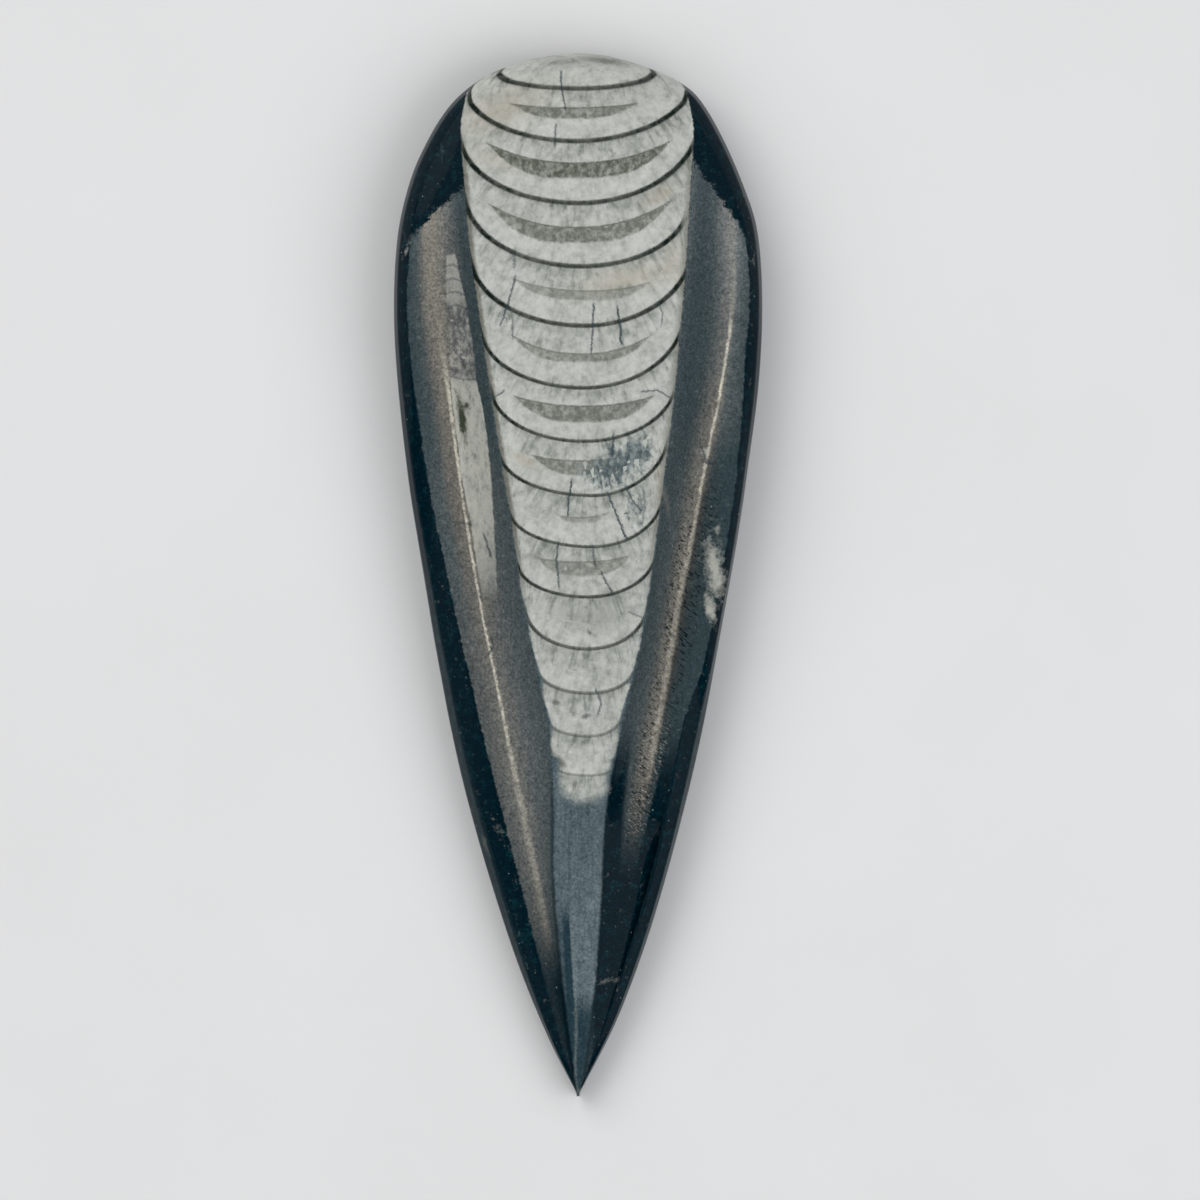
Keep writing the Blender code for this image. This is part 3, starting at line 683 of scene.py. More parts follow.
# Grinding and polishing by hand leave the surface a little uneven. The flutes have fine waves
# across them from the wheel, the polished parts roll softly, and the saw has left steps on the back.


def new_tree(kind, name, inputs, outputs):
    """Make a node group with named sockets, and return it with its input and output nodes."""
    tree = bpy.data.node_groups.new(name, kind)
    for direction, sockets in (("INPUT", inputs), ("OUTPUT", outputs)):
        for socket_name, socket_type, *default in sockets:
            socket = tree.interface.new_socket(socket_name, in_out=direction, socket_type=socket_type)
            if default:
                socket.default_value = default[0]
    return tree, tree.nodes.new("NodeGroupInput"), tree.nodes.new("NodeGroupOutput")


def feed(tree, slot, value):
    """Link a socket or a field to a slot, or set the slot to a constant."""
    value = getattr(value, "socket", value)
    if isinstance(value, bpy.types.NodeSocket):
        tree.links.new(value, slot)
    else:
        slot.default_value = value


class Field:
    """A number that varies over the stone. Sums with it add math nodes to its tree."""

    def __init__(self, tree, socket):
        self.tree, self.socket = tree, socket

    def math(self, operation, *others):
        node = self.tree.nodes.new("ShaderNodeMath")
        node.operation = operation
        for slot, value in zip(node.inputs, (self,) + others):
            feed(self.tree, slot, value)
        return Field(self.tree, node.outputs[0])

    def __add__(self, other):
        return self.math("ADD", other)

    __radd__ = __add__

    def __sub__(self, other):
        return self.math("SUBTRACT", other)

    def __rsub__(self, other):
        return self.math("MULTIPLY", -1.0).math("ADD", other)

    def __mul__(self, other):
        return self.math("MULTIPLY", other)

    def __truediv__(self, other):
        return self.math("DIVIDE", other)

    def size(self):
        return self.math("ABSOLUTE")

    def rise(self, low, high):
        """Smooth step from 0 at low to 1 at high."""
        node = self.tree.nodes.new("ShaderNodeMapRange")
        node.interpolation_type = "SMOOTHSTEP"
        for slot, value in zip(node.inputs, (self, low, high)):
            feed(self.tree, slot, value)
        return Field(self.tree, node.outputs[0])

    def fall(self, low, high):
        """Smooth step from 1 at low to 0 at high."""
        return 1.0 - self.rise(low, high)


def scaled(tree, place, scales):
    """Stretch a place by a factor each way."""
    node = tree.nodes.new("ShaderNodeVectorMath")
    node.operation = "MULTIPLY"
    feed(tree, node.inputs[0], place)
    node.inputs[1].default_value = scales
    return node.outputs[0]


def noise(tree, place, scales, detail=2.0, roughness=0.5):
    """Cloudy noise from about -1 to 1, with this many clouds to a millimetre each way."""
    cloud = tree.nodes.new("ShaderNodeTexNoise")
    cloud.inputs["Scale"].default_value = 1.0
    cloud.inputs["Detail"].default_value = detail
    cloud.inputs["Roughness"].default_value = roughness
    feed(tree, cloud.inputs["Vector"], scaled(tree, place, scales))
    return (Field(tree, cloud.outputs["Fac"]) - 0.5) * 2.0


def millimetres(tree, place):
    return scaled(tree, place, (1 / MM,) * 3)


relief, given, result = new_tree(
    "GeometryNodeTree", "grinding_relief",
    [("Geometry", "NodeSocketGeometry"), ("Material", "NodeSocketMaterial"),
     ("Hand Roll", "NodeSocketFloat", 0.05), ("Wheel Waves", "NodeSocketFloat", 0.02),
     ("Saw Steps", "NodeSocketFloat", 0.02)], [("Geometry", "NodeSocketGeometry")])
hand_roll, wheel_waves, saw_steps = (
    Field(relief, given.outputs[name]) for name in ("Hand Roll", "Wheel Waves", "Saw Steps"))


def kept_mark(name):
    node = relief.nodes.new("GeometryNodeInputNamedAttribute")
    node.data_type = "FLOAT"
    node.inputs["Name"].default_value = name
    return Field(relief, node.outputs[0])


spot = millimetres(relief, relief.nodes.new("GeometryNodeInputPosition").outputs[0])
split = relief.nodes.new("ShaderNodeSeparateXYZ")
feed(relief, split.inputs[0], spot)
height_up = Field(relief, split.outputs["Z"])
matte = kept_mark("flute_cut").rise(0.02, 0.3) * kept_mark("rim").rise(0.0, 0.8)
matte = matte * kept_mark("shell_line").fall(-0.8, 0.0)
dome_hold = 1.0 - kept_mark("shell_line").rise(0.0, 2.0) * 0.7
roll = noise(relief, spot, (0.10, 0.07, 0.12), 1.0) * dome_hold
waves = noise(relief, spot, (0.30, 0.75, 0.30), 2.0, 0.6) * matte
saw = noise(relief, spot, (0.08, 0.9, 0.1), 2.0) * height_up.fall(0.02, 0.1)
lift = roll * hand_roll * height_up.rise(0.0, 2.0) + waves * wheel_waves - saw.size() * saw_steps
push = relief.nodes.new("ShaderNodeVectorMath")
push.operation = "SCALE"
feed(relief, push.inputs[0], relief.nodes.new("GeometryNodeInputNormal").outputs[0])
feed(relief, push.inputs["Scale"], lift * MM)
move = relief.nodes.new("GeometryNodeSetPosition")
feed(relief, move.inputs["Geometry"], given.outputs["Geometry"])
feed(relief, move.inputs["Offset"], push.outputs[0])
realize = relief.nodes.new("GeometryNodeRealizeInstances")
feed(relief, realize.inputs[0], move.outputs[0])
clothe = relief.nodes.new("GeometryNodeSetMaterial")
feed(relief, clothe.inputs["Geometry"], realize.outputs[0])
feed(relief, clothe.inputs["Material"], given.outputs["Material"])
feed(relief, result.inputs[0], clothe.outputs[0])

# Effects of the stone's material, each a shader group: a line with worn edges, the fibres of the
# calcite, the grain of the black limestone, and what the grinding wheel leaves.

worn_line, given, result = new_tree(
    "ShaderNodeTree", "worn_line",
    [("Distance", "NodeSocketFloat"), ("Half Width", "NodeSocketFloat", 0.1),
     ("Softness", "NodeSocketFloat", 0.5)], [("Mask", "NodeSocketFloat")])
half = Field(worn_line, given.outputs["Half Width"])
softness = Field(worn_line, given.outputs["Softness"])
far = Field(worn_line, given.outputs["Distance"]).size()
feed(worn_line, result.inputs["Mask"], far.fall(half * (1.0 - softness), half * (softness + 1.0)))

fibres, given, result = new_tree(
    "ShaderNodeTree", "mineral_fibres",
    [("Across", "NodeSocketFloat"), ("Depth", "NodeSocketFloat"), ("From Wall", "NodeSocketFloat")],
    [("Streaks", "NodeSocketFloat"), ("Fringe", "NodeSocketFloat")])
lay = fibres.nodes.new("ShaderNodeCombineXYZ")
feed(fibres, lay.inputs[0], given.outputs["Across"])
feed(fibres, lay.inputs[1], given.outputs["Depth"])
feed(fibres, result.inputs["Streaks"], noise(fibres, lay.outputs[0], (1.5, 0.42, 1.0), 5.0, 0.66))
comb = noise(fibres, lay.outputs[0], (1.9, 0.30, 1.0), 4.0, 0.62).rise(0.0, 0.5)
near_wall = Field(fibres, given.outputs["From Wall"]).size().fall(0.1, 1.1)
feed(fibres, result.inputs["Fringe"], comb * near_wall)

limestone, given, result = new_tree(
    "ShaderNodeTree", "limestone", [("Place", "NodeSocketVector")],
    [("Mottle", "NodeSocketFloat"), ("Grit", "NodeSocketFloat"), ("Sparkle", "NodeSocketFloat")])
feed(limestone, result.inputs["Mottle"], noise(limestone, given.outputs["Place"], (0.9,) * 3, 5.0, 0.62))
feed(limestone, result.inputs["Grit"], noise(limestone, given.outputs["Place"], (3.6,) * 3, 3.0, 0.7))
cells = limestone.nodes.new("ShaderNodeTexVoronoi")
cells.inputs["Scale"].default_value = 1.0
feed(limestone, cells.inputs["Vector"], scaled(limestone, given.outputs["Place"], (1.7,) * 3))
chance = limestone.nodes.new("ShaderNodeSeparateColor")
feed(limestone, chance.inputs[0], cells.outputs["Color"])
speck = Field(limestone, cells.outputs["Distance"]).fall(0.06, 0.16)
feed(limestone, result.inputs["Sparkle"], speck * Field(limestone, chance.outputs[0]).rise(0.86, 1.0))

grinding, given, result = new_tree(
    "ShaderNodeTree", "grinding_marks", [("Place", "NodeSocketVector")],
    [("Streaks", "NodeSocketFloat"), ("Strokes", "NodeSocketFloat"), ("Scratches", "NodeSocketFloat")])
feed(grinding, result.inputs["Streaks"],
     noise(grinding, given.outputs["Place"], (3.4, 0.16, 1.5), 3.0, 0.6))
STROKE_TURN = math.radians(38.0)
turned = grinding.nodes.new("ShaderNodeVectorRotate")
turned.inputs["Angle"].default_value = STROKE_TURN
feed(grinding, turned.inputs["Vector"], given.outputs["Place"])
feed(grinding, result.inputs["Strokes"],
     noise(grinding, turned.outputs[0], (1.3, 5.2, 2.0), 2.0, 0.55).rise(0.02, 0.34))
feed(grinding, result.inputs["Scratches"],
     noise(grinding, turned.outputs[0], (2.0, 8.0, 3.0), 2.0, 0.6).rise(0.12, 0.40))

# The stone's colours, in linear light.
POLISHED_BLACK = (0.0002, 0.0085, 0.0145, 1)
BLACK_MOTTLE = (0.003, 0.030, 0.038, 1)
COLD_DARK = (0.034, 0.056, 0.063, 1)
COLD_LIGHT = (0.18, 0.195, 0.198, 1)
WARM_DARK = (0.060, 0.056, 0.051, 1)
WARM_LIGHT = (0.262, 0.243, 0.203, 1)
BAND_DARK = (0.018, 0.040, 0.052, 1)
BAND_LIGHT = (0.160, 0.200, 0.212, 1)
# Pale colour of the painted crease highlight, also used for the pale scratches.
CREASE_HIGHLIGHT_AND_SCRATCH = (0.64, 0.60, 0.50, 1)
CALCITE_DARK = (0.165, 0.182, 0.158, 1)
CALCITE_LIGHT = (0.570, 0.578, 0.530, 1)
CALCITE_TAN = (0.42, 0.35, 0.265, 1)
RIND_BROWN = (0.128, 0.122, 0.098, 1)
LENS_DARK = (0.088, 0.096, 0.076, 1)
LENS_LIGHT = (0.340, 0.352, 0.305, 1)
MINERAL_BLUE = (0.046, 0.072, 0.084, 1)
MINERAL_GREY = (0.250, 0.290, 0.280, 1)
WALL_OLIVE = (0.046, 0.056, 0.036, 1)
WALL_CORE = (0.004, 0.010, 0.007, 1)
CRACK_BLUE = (0.030, 0.050, 0.062, 1)
SMALL_SHELL_DARK = (0.082, 0.082, 0.088, 1)
SMALL_SHELL_LIGHT = (0.50, 0.495, 0.44, 1)
SPARKLE_TEAL = (0.34, 0.44, 0.43, 1)

carved = bpy.data.materials.new("carved_orthoceras_stone")
carved.use_nodes = True
skin = carved.node_tree
shader = skin.nodes["Principled BSDF"]
object_place = skin.nodes.new("ShaderNodeTexCoord").outputs["Object"]
spot = millimetres(skin, object_place)
split = skin.nodes.new("ShaderNodeSeparateXYZ")
feed(skin, split.inputs[0], spot)
across, along, up = (Field(skin, split.outputs[i]) for i in range(3))


def mark(name):
    node = skin.nodes.new("ShaderNodeAttribute")
    node.attribute_name = name
    return Field(skin, node.outputs["Fac"])


def effect(group, **given):
    """Add a group to the stone's material and return its outputs by name."""
    node = skin.nodes.new("ShaderNodeGroup")
    node.node_tree = group
    for name, value in given.items():
        feed(skin, node.inputs[name.replace("_", " ")], value)
    return {socket.name: Field(skin, socket) for socket in node.outputs}


def line(distance, half_width, softness=0.5):
    return effect(worn_line, Distance=distance, Half_Width=half_width, Softness=softness)["Mask"]


def blend(share, start, end):
    """Mix two colours by a field."""
    node = skin.nodes.new("ShaderNodeMix")
    node.data_type = "RGBA"
    for slot, value in zip((0, 6, 7), (share, start, end)):
        feed(skin, node.inputs[slot], value)
    return node.outputs[2]


def shaded(colour, strength):
    """Scale a colour by a field."""
    node = skin.nodes.new("ShaderNodeVectorMath")
    node.operation = "SCALE"
    feed(skin, node.inputs[0], colour)
    feed(skin, node.inputs["Scale"], strength)
    return node.outputs[0]


def between(share, start, end):
    """Mix two numbers by a field."""
    node = skin.nodes.new("ShaderNodeMix")
    for slot, value in zip((0, 2, 3), (share, start, end)):
        feed(skin, node.inputs[slot], value)
    return Field(skin, node.outputs[0])


ragged = noise(skin, spot, (1.5,) * 3, 3.0, 0.6)
fine = noise(skin, spot, (6.0,) * 3, 2.0)
cotton = noise(skin, spot, (1.25,) * 3, 5.0, 0.66)
grain = effect(limestone, Place=spot)
ground = effect(grinding, Place=spot)
shell_line = mark("shell_line")
inside_shell = mark("inside_shell")

# The limestone is polished black on the shoulders, margins and sides.
colour = blend(grain["Mottle"].rise(-0.05, 0.7), POLISHED_BLACK, BLACK_MOTTLE)
colour = blend(grain["Sparkle"] * 0.7, colour, SPARKLE_TEAL)
colour = shaded(colour, grain["Grit"] * 1.1 + 1.0)
colour = blend((fine + grain["Grit"]).rise(0.35, 1.0) * 0.28, colour, MINERAL_BLUE)
# Painted reflection of the floor, grey on the lower edge strip.
colour = blend(mark("floor_reflection_strip") * (grain["Mottle"] * 0.4 + ragged * 0.3 + 0.55), colour, COLD_DARK)
roughness = grain["Mottle"].rise(-0.4, 0.8) * 0.06 + 0.07
bump = grain["Mottle"] * 0.0012

# The flutes are ground matt, dark and cold near the fossil, lighter and brown toward the crease.
# The lightness is partly painted light and shade, from how the walls slope to the light, and partly
# the ground stone's own tone.
rough_edge = noise(skin, spot, (0.9, 1.5, 0.9), 4.0, 0.7)
flute = (mark("flute_end") + rough_edge * 0.9 + fine * 0.35).rise(0.45, 0.85)
flute = flute * (mark("rim") + ragged * 0.24 + fine * 0.10).rise(-0.10, 0.14)
flute = flute * (shell_line + fine * 0.04).fall(-0.06, 0.06)
flute = flute * (1.0 - mark("polish") * (ground["Streaks"] + 1.1).rise(0.0, 0.9))
wear = ground["Streaks"] * 0.30 + grain["Grit"] * 0.42 + ragged * 0.22
# Painted light and shade across the flute, with wear and grit laid on top.
light = mark("flute_painted_light") + wear * (mark("flute_painted_light") * 0.8 + 0.10)
warm = (mark("flute_warm") + ragged * 0.18 + ground["Streaks"] * 0.15).rise(0.05, 1.0)
flute_colour = blend(warm, blend(light.rise(-0.1, 1.1), COLD_DARK, COLD_LIGHT),
                     blend(light.rise(-0.1, 1.1), WARM_DARK, WARM_LIGHT))
strokes = ground["Strokes"] * mark("strokes")
flute_colour = blend(strokes * 0.95, flute_colour, POLISHED_BLACK)
scratched = mark("strokes") * along.rise(-31.0, -27.0) * along.fall(-20.0, -14.0)
flute_colour = blend(ground["Scratches"] * scratched * 0.5, flute_colour, CREASE_HIGHLIGHT_AND_SCRATCH)
# Painted highlight: a pale broken line down each crease, where the light catches it.
crease = mark("crease") + ragged * 0.17 + fine * 0.08
thin = line(crease, mark("crease_highlight_soft") * 0.22 + 0.11, 0.75) * mark("crease_highlight")
flute_colour = blend(thin * (cotton * 1.4 + 0.75).rise(0.0, 1.0), flute_colour, CREASE_HIGHLIGHT_AND_SCRATCH)
flute_colour = blend(grain["Sparkle"] * (mark("strokes") * 0.7 + 0.25), flute_colour, SPARKLE_TEAL)
flute_colour = shaded(flute_colour, grain["Grit"] * 0.95 + ragged * 0.30 + 1.0)

# The small shell in the left flute.
small = (mark("small_shell") + ragged * 0.14 + fine * 0.05).rise(-0.06, 0.14) * mark("small_tone")
cloud = noise(skin, spot, (1.3, 0.8, 1.2), 4.0, 0.62)
ridges = noise(skin, spot, (1.0, 1.4, 1.0), 2.5, 0.6).size().fall(0.0, 0.34)
ridges = ridges * (cloud + ragged * 0.6 + 0.1).rise(-0.2, 0.6)
bubbly = ridges * 0.60 + cloud * 0.60 + fine * 0.15 + 0.18
plain = cloud * 0.8 + grain["Grit"] * 0.25 + 0.74
bubbled = along.rise(20.8, 22.4) * along.fall(28.6, 30.4)
small_light = between(bubbled, plain, bubbly).rise(-0.1, 1.0)
small_colour = blend(small_light, SMALL_SHELL_DARK, SMALL_SHELL_LIGHT)
flute_colour = blend(small, flute_colour, small_colour)
core_crystals = (mark("core") + cloud * 0.9 + fine * 0.3).rise(0.15, 0.9)
flute_colour = blend(core_crystals * small, flute_colour, WALL_OLIVE)
colour = blend(flute, colour, flute_colour)
roughness = between(flute, roughness, 0.60)
bump = between(flute, bump, ground["Streaks"] * 0.010 + grain["Grit"] * 0.010
               + strokes * -0.03 + thin * 0.02)
flakes = noise(skin, spot, (1.4, 2.2, 1.4), 2.0, 0.4)
chipped = line(mark("flute_end") - 0.65 + rough_edge * 0.9, 0.35, 0.8)
bump = bump + flakes * chipped * 0.035

# The band below the fossil, where the middle of the dome runs on to the point.
band = (shell_line + fine * 0.08 + ragged * 0.14).rise(-0.18, 0.16) * along.fall(20.0, 30.0)
# Painted highlight along the band's middle line.
band_highlight = line(mark("band_line_offset") + ragged * 0.16 + fine * 0.06, 0.16, 0.9) * mark("band_highlight_tone")
# The band's lightness carries painted light right of the line and painted shade left of it.
band_light_and_shade = grain["Mottle"] * 0.35 + ground["Streaks"] * 0.3 + mark("band_light_and_shade")
band_light_and_shade = band_light_and_shade - along.fall(-50.0, -45.0) * 0.62
band_colour = blend(band_light_and_shade.rise(-0.2, 1.0), BAND_DARK, BAND_LIGHT)
band_colour = blend(band_highlight * (cotton + 0.5).rise(-0.3, 0.6) * 0.32, band_colour, MINERAL_GREY)
band_colour = shaded(band_colour, grain["Grit"] * 0.95 + ragged * 0.2 + 1.0)
colour = blend(band, colour, band_colour)
roughness = between(band, roughness, 0.24 + grain["Grit"] * 0.05)
bump = between(band, bump, grain["Grit"] * 0.002)
# Painted shade on the steep wall just outside the shell's edge, toward the point.
band_foot_shade = line(shell_line + 0.08 + fine * 0.06 + ragged * 0.08, 0.18, 0.9)
band_foot_shade = band_foot_shade * along.fall(-26.0, -18.0)
colour = blend(band_foot_shade * 0.55, colour, POLISHED_BLACK)

# The calcite that fills the chambers is fibrous and cloudy, stained here and there.
chamber = mark("chamber")
spacing = mark("spacing")
to_wall = (chamber - chamber.math("ROUND")) * spacing
fibre = effect(fibres, Across=mark("ray"), Depth=chamber * spacing, From_Wall=to_wall)
drift = noise(skin, spot, (0.35,) * 3, 2.0)
across_chamber = chamber.math("FRACT")
tufts = noise(skin, spot, (0.75,) * 3, 3.0, 0.6)
above_wall = across_chamber.rise(0.40, 0.80) * across_chamber.fall(0.93, 1.0)
below_wall = across_chamber.fall(0.03, 0.38)
gaps = fibre["Streaks"].rise(-0.1, 0.45) * (1.0 - above_wall * 0.6)
calcite_light = (0.72 - gaps * 0.40 + cotton * 0.50 + tufts * 0.40 + drift * 0.20 - below_wall * 0.16
                 + above_wall * 0.06 - fibre["Fringe"] * 0.45 - along.fall(-8.0, 24.0) * 0.08)
calcite = blend(calcite_light.rise(-0.1, 1.1), CALCITE_DARK, CALCITE_LIGHT)
calcite = shaded(calcite, grain["Grit"] * 0.14 + 1.0)
calcite = blend(mark("tan").math("MINIMUM", 1.0) * (0.55 + cotton * 0.5), calcite, CALCITE_TAN)
grey = (mark("grey") + cotton * 0.8 + tufts * 0.5 - 0.1).rise(0.1, 1.1) * mark("grey").rise(0.02, 0.3)
calcite = blend(grey * 0.75, calcite, LENS_DARK)

# Grey lenses of clotted calcite lie in most chambers, with a thin olive line along their top edge.
lens = (mark("lens") + ragged * 0.26 + fine * 0.10).rise(-0.18, 0.16)
clots = noise(skin, spot, (1.7, 1.3, 1.5), 4.0, 0.6)
lens_light = clots * 1.2 + cotton * 0.5 + fibre["Streaks"] * 0.35 + fine * 0.2 + 0.34
lens_colour = blend(lens_light.rise(-0.1, 1.1), LENS_DARK, LENS_LIGHT)
calcite = blend(lens * mark("lens_grey"), calcite, lens_colour)
lens_rim = line(mark("lens_top") + fine * 0.06 - 0.02, 0.09, 0.6) * mark("lens").rise(-0.3, -0.05)
calcite = blend(lens_rim * mark("lens_grey") * (0.5 + clots * 0.8), calcite, WALL_OLIVE)

# Blue-grey mineral has grown in the right side of a few chambers, in blocky crystals.
crystals = skin.nodes.new("ShaderNodeTexVoronoi")
crystals.inputs["Scale"].default_value = 1.0
feed(skin, crystals.inputs["Vector"], scaled(skin, spot, (2.3, 1.5, 2.0)))
facet = skin.nodes.new("ShaderNodeSeparateColor")
feed(skin, facet.inputs[0], crystals.outputs["Color"])
facet_kind, facet_tone = (Field(skin, facet.outputs[i]) for i in range(2))
blue = mark("blue") * 1.1 + facet_kind * 0.2 + clots * 1.1 + fibre["Streaks"] * 0.6 + fine * 0.25 - 0.62
blue = blue.rise(-0.2, 0.8) * mark("blue").rise(0.08, 0.4)
blue_tone = facet_tone * 0.6 - clots * 0.9 + cotton * 0.6 + fine * 0.3 + 0.1
blue_colour = blend(blue_tone.rise(0.0, 1.0), MINERAL_BLUE, MINERAL_GREY)
calcite = blend(blue * 0.88, calcite, blue_colour)
calcite = blend(facet_kind.rise(0.90, 0.93) * mark("blue").rise(0.25, 0.6) * 0.7, calcite, CALCITE_LIGHT)

# The shell's own edge is a thin grey-brown rind, wider on the left.
right_half = across.rise(-1.0, 1.0)
rind = inside_shell + fine * 0.08 + ragged * 0.16
rind = rind.fall(0.28 - right_half * 0.25, right_half * 0.35 + 0.75)
rind = rind * along.rise(-8.0, 6.0) * along.fall(44.0, 50.0) * (1.0 - right_half * 0.3)
calcite = blend(rind * (0.80 + cotton * 0.5), calcite, RIND_BROWN)

# The walls between the chambers are olive, with ragged dark edges that take over toward their ends.
waver = fine * 0.06 + ragged * 0.03
half_width = mark("wall_half_width") * (1.0 + mark("wall_end") * 0.10 + tufts * 0.25)
wall = line(to_wall + waver, half_width, 0.45) * mark("wall_tone")
core = line(to_wall + waver - 0.05, half_width * 0.6, 0.7) * (tufts + cotton * 0.7 + 0.2).rise(-0.6, 0.35)
core = (core + mark("wall_end") * 0.7).math("MINIMUM", 1.0)
calcite = blend(wall * (mark("wall_end") * 0.12 + cotton * 0.30 + tufts * 0.20 + 0.85), calcite,
                blend(core, WALL_OLIVE, WALL_CORE))

# The fossil's outline is crisp at the wide end and fades out at its narrow end.
softness = along.fall(-24.0, -19.5) * 0.6 + along.fall(-14.0, 4.0) * 0.15 + 0.12
fossil = ((inside_shell + ragged * 0.14 + fine * 0.08) / softness + cotton * 0.5).rise(-0.5, 1.1)
colour = blend(fossil, colour, calcite)
roughness = between(fossil, roughness, 0.34 + wall * 0.12 + cotton * 0.05)
bump = between(fossil, bump, wall * -0.035 + cotton * 0.0015)

# Pale and tan stains in the black stone, then hairline cracks and scratches over everything.
pale_rock = (mark("pale") + ragged * 0.6 + cotton * 0.4 + grain["Grit"] * 0.3).rise(0.15, 1.15)
colour = blend(pale_rock * (1.0 - fossil) * 0.85, colour, SMALL_SHELL_LIGHT)
tan_rock = (mark("tan") + ragged * 0.3).rise(0.3, 1.0) * (1.0 - fossil)
colour = blend(tan_rock * 0.5, colour, WARM_LIGHT)
hairline = line(mark("crack") + fine * 0.10 + ragged * 0.24, tufts * 0.06 + 0.11, 0.8) * mark("crack_tone")
hairline = hairline * (cotton + 0.55).rise(-0.1, 0.6)
colour = blend(hairline, colour, CRACK_BLUE)
bump = bump + hairline * -0.04

# The sawn back is matt, with the blade's arcs across it.
BLADE_CENTRE = (150.0, 40.0, 0.0)
ARCS_PER_MM = 5.2
sawn = up.fall(0.04, 0.3)
blade = skin.nodes.new("ShaderNodeVectorMath")
blade.operation = "DISTANCE"
feed(skin, blade.inputs[0], spot)
blade.inputs[1].default_value = BLADE_CENTRE
arcs = ((Field(skin, blade.outputs["Value"]) + ragged * 0.15) * ARCS_PER_MM).math("SINE")
back_light = arcs * 0.22 + ragged * 0.3 + grain["Grit"] * 0.25 + 0.45
colour = blend(sawn, colour, blend(back_light.rise(-0.1, 1.1), COLD_DARK, COLD_LIGHT))
roughness = between(sawn, roughness, 0.55)
bump = between(sawn, bump, arcs * 0.008 + grain["Grit"] * 0.01)

feed(skin, shader.inputs["Base Color"], colour)
feed(skin, shader.inputs["Roughness"], roughness)
surface = skin.nodes.new("ShaderNodeBump")
surface.inputs["Distance"].default_value = MM
feed(skin, surface.inputs["Height"], bump)
feed(skin, shader.inputs["Normal"], surface.outputs[0])
shader.inputs["IOR"].default_value = 1.5
shader.inputs["Specular IOR Level"].default_value = 0.045

# The relief is put on the stone, in millimetres, and made part of its mesh.
RELIEF_VALUES = {"Material": carved, "Hand Roll": 0.05, "Wheel Waves": 0.03, "Saw Steps": 0.015}
unevenness = stone.modifiers.new("grinding relief", "NODES")
unevenness.node_group = relief
for socket in relief.interface.items_tree:
    if socket.in_out == "INPUT" and socket.name in RELIEF_VALUES:
        unevenness[socket.identifier] = RELIEF_VALUES[socket.name]
bpy.context.view_layer.update()
evaluated = bpy.context.evaluated_depsgraph_get()
finished = bpy.data.meshes.new_from_object(
    stone.evaluated_get(evaluated), preserve_all_data_layers=True, depsgraph=evaluated)
stone.modifiers.remove(unevenness)
stone.data = finished

# The map for baking: face and back in plan, side by side, and the walls rolled out in two strips.
MAP_EDGE = 0.008
MAP_MARGIN = 0.5
MAP_HALF_WIDTH = 20.5
MAP_ROWS = {"face": 0.0, "back": 0.365, "left wall": 0.73, "right wall": 0.86}
WALL_TILT = 0.3


def read_all(items, field, width, kind=float):
    """Read one property of all a mesh's items, in rows of this width."""
    found = np.empty(len(items) * width, kind)
    items.foreach_get(field, found)
    return found.reshape(-1, width) if width > 1 else found


def bake_places(mesh):
    """Place of every corner of the mesh on the baking map."""
    usable = 1 - 2 * MAP_EDGE
    plan_scale = usable / (2 * HALF_LENGTH + 2 * MAP_MARGIN)
    points = read_all(mesh.vertices, "co", 3) / MM
    x, y, z = points[read_all(mesh.loops, "vertex_index", 1, np.int32)].T
    tilt = read_all(mesh.polygons, "normal", 3)[:, 2]
    wall = np.where(read_all(mesh.polygons, "center", 3)[:, 0] < 0, 2, 3)
    part = np.where(tilt > WALL_TILT, 0, np.where(tilt < -WALL_TILT, 1, wall))
    part = np.repeat(part, read_all(mesh.polygons, "loop_total", 1, np.int32))
    stations = np.linspace(-HALF_LENGTH, HALF_LENGTH, 2000)
    rolled = []
    for side in (left_side, right_side):
        outline = side.outline_at(stations)[0]
        walked = np.concatenate([[0], np.cumsum(np.hypot(np.diff(outline), np.diff(stations)))])
        rolled.append(np.interp(y, stations, walked) * usable / walked[-1])
    plan_along = (y + HALF_LENGTH + MAP_MARGIN) * plan_scale
    plan_across = (x + MAP_HALF_WIDTH) * plan_scale
    u = np.where(part < 2, plan_along, np.where(part == 2, *rolled)) + MAP_EDGE
    v = np.where(part < 2, plan_across, z * plan_scale) + MAP_EDGE
    v = v + np.array(list(MAP_ROWS.values()))[part]
    return np.stack([u, v], 1)


bake_map = finished.uv_layers.new(name="OFBake")
bake_map.data.foreach_set("uv", bake_places(finished).astype(np.float32).ravel())

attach(stone, "root")
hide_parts("orthoceras_stone")


# ================================================================================================
# The floor, the light and the camera
# A plain sheet of pale paper, two wide disc lamps in a white tent, and a camera straight above.

FLOOR_REACH = 3.0
PAPER_SHADE = (0.742, 0.733, 0.724, 1)
PAPER_LIGHT = (0.776, 0.769, 0.762, 1)

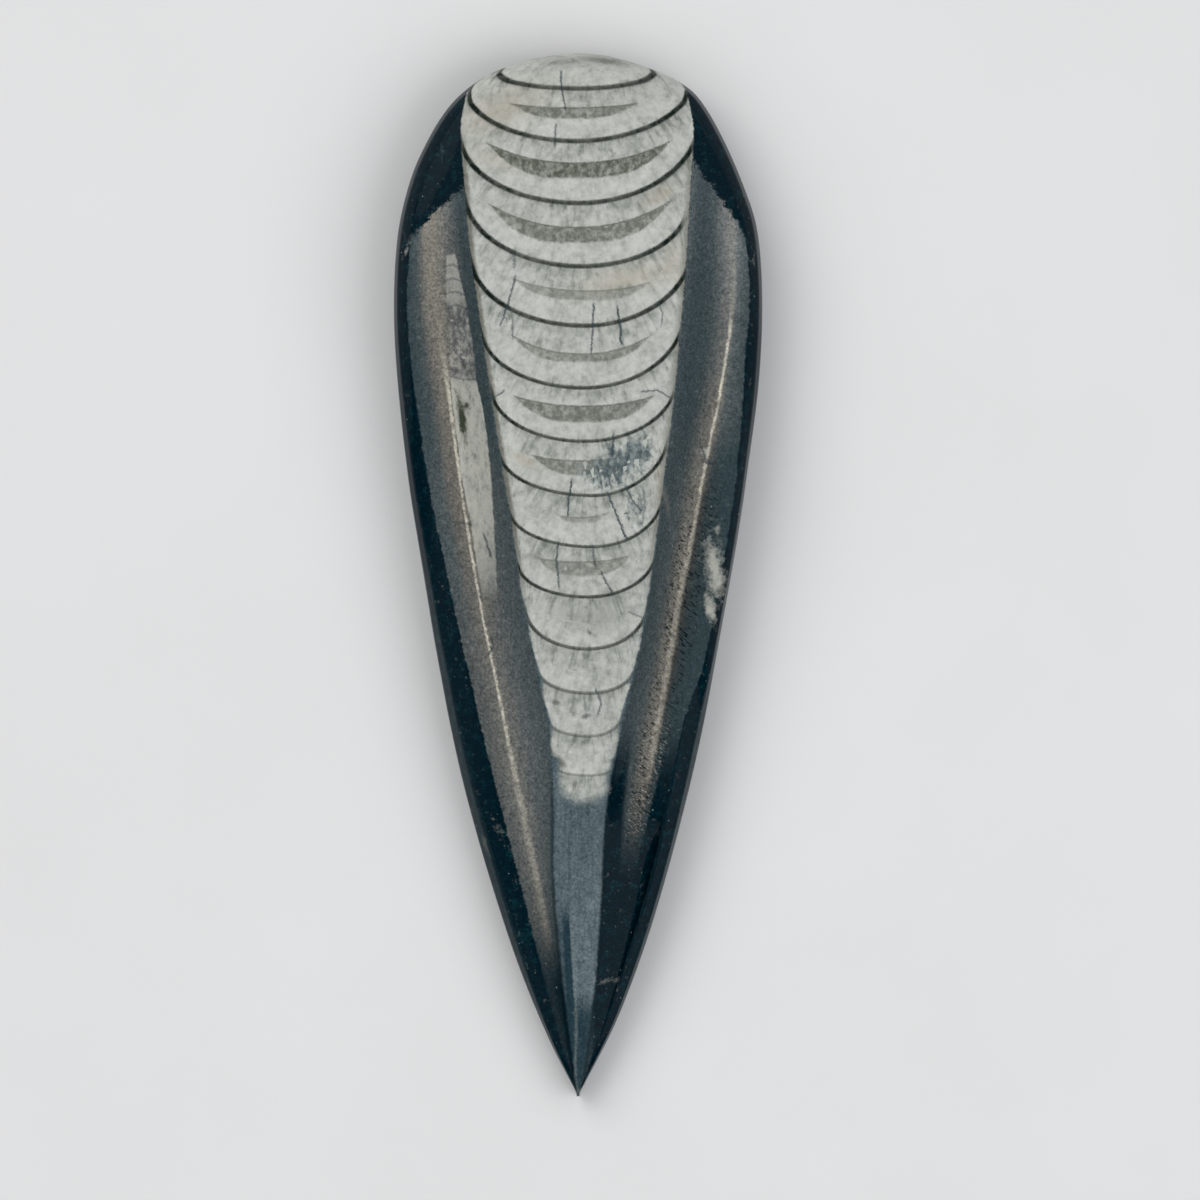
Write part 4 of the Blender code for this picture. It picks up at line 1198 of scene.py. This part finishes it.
floor_mesh = bpy.data.meshes.new("floor")
floor_corners = [(FLOOR_REACH * a, FLOOR_REACH * b, 0) for a, b in ((-1, -1), (1, -1), (1, 1), (-1, 1))]
floor_mesh.from_pydata(floor_corners, [], [(0, 1, 2, 3)])
floor = bpy.data.objects.new("floor", floor_mesh)
bpy.context.scene.collection.objects.link(floor)
pale = bpy.data.materials.new("pale_floor")
pale.use_nodes = True
paper = pale.node_tree
paper_shader = paper.nodes["Principled BSDF"]
paper_spot = millimetres(paper, paper.nodes.new("ShaderNodeTexCoord").outputs["Object"])
paper_tone = paper.nodes.new("ShaderNodeMix")
paper_tone.data_type = "RGBA"
feed(paper, paper_tone.inputs[0], noise(paper, paper_spot, (0.02, 0.02, 0.02), 4.0, 0.6).rise(-0.8, 0.8))
paper_tone.inputs[6].default_value = PAPER_SHADE
paper_tone.inputs[7].default_value = PAPER_LIGHT
feed(paper, paper_shader.inputs["Base Color"], paper_tone.outputs[2])
paper_shader.inputs["Roughness"].default_value = 0.7
floor_mesh.materials.append(pale)


def soft_light(name, place, size, power, colour):
    """A wide disc lamp that faces the stone."""
    lamp = bpy.data.lights.new(name, "AREA")
    lamp.shape = "DISK"
    lamp.size = size
    lamp.energy = power
    lamp.color = colour
    holder = bpy.data.objects.new(name, lamp)
    holder.location = place
    holder.rotation_euler = (-Vector(place)).to_track_quat("-Z", "Y").to_euler()
    bpy.context.scene.collection.objects.link(holder)


soft_light("key", (-0.85, 0.95, 1.25), 1.5, 11.0, (1.0, 0.99, 0.975))
soft_light("fill", (1.05, -0.55, 1.2), 1.5, 7.0, (0.97, 0.985, 1.0))

# The walls of a white tent, bright halfway up, dark at the floor and overhead, where it is open:
# (height, from 0 at the horizon to 1 overhead, colour).
TENT_STOPS = [(0.02, (0.05, 0.055, 0.06)), (0.25, (0.14, 0.15, 0.16)), (0.5, (0.93, 0.95, 0.98)),
              (0.78, (0.98, 1.0, 1.03)), (0.92, (0.24, 0.25, 0.26)), (1.0, (0.10, 0.105, 0.11))]
world = bpy.data.worlds.new("studio")
world.use_nodes = True
sky = world.node_tree
direction = sky.nodes.new("ShaderNodeSeparateXYZ")
feed(sky, direction.inputs[0], sky.nodes.new("ShaderNodeTexCoord").outputs["Generated"])
tent = sky.nodes.new("ShaderNodeValToRGB").color_ramp
tent.interpolation = "EASE"
for height, _ in TENT_STOPS[:-2]:
    tent.elements.new(height)
for stop, (height, tone) in zip(tent.elements, TENT_STOPS):
    stop.position = height
    stop.color = tone + (1,)
feed(sky, sky.nodes["Color Ramp"].inputs[0], direction.outputs["Z"])
feed(sky, sky.nodes["Background"].inputs["Color"], sky.nodes["Color Ramp"].outputs[0])
bpy.context.scene.world = world

CAMERA_PLACE = (0.00242, -0.00275, 1.6)
FRAME_WIDTH = 0.13218
AIM_HEIGHT = 0.005
SENSOR_WIDTH = 36.0
camera_data = bpy.data.cameras.new("camera")
camera_data.sensor_width = SENSOR_WIDTH
camera_data.lens = SENSOR_WIDTH * (CAMERA_PLACE[2] - AIM_HEIGHT) / FRAME_WIDTH
camera_data.clip_start = 0.01
camera = bpy.data.objects.new("camera", camera_data)
camera.location = CAMERA_PLACE
bpy.context.scene.collection.objects.link(camera)
bpy.context.scene.camera = camera
bpy.context.scene.view_settings.view_transform = "Standard"
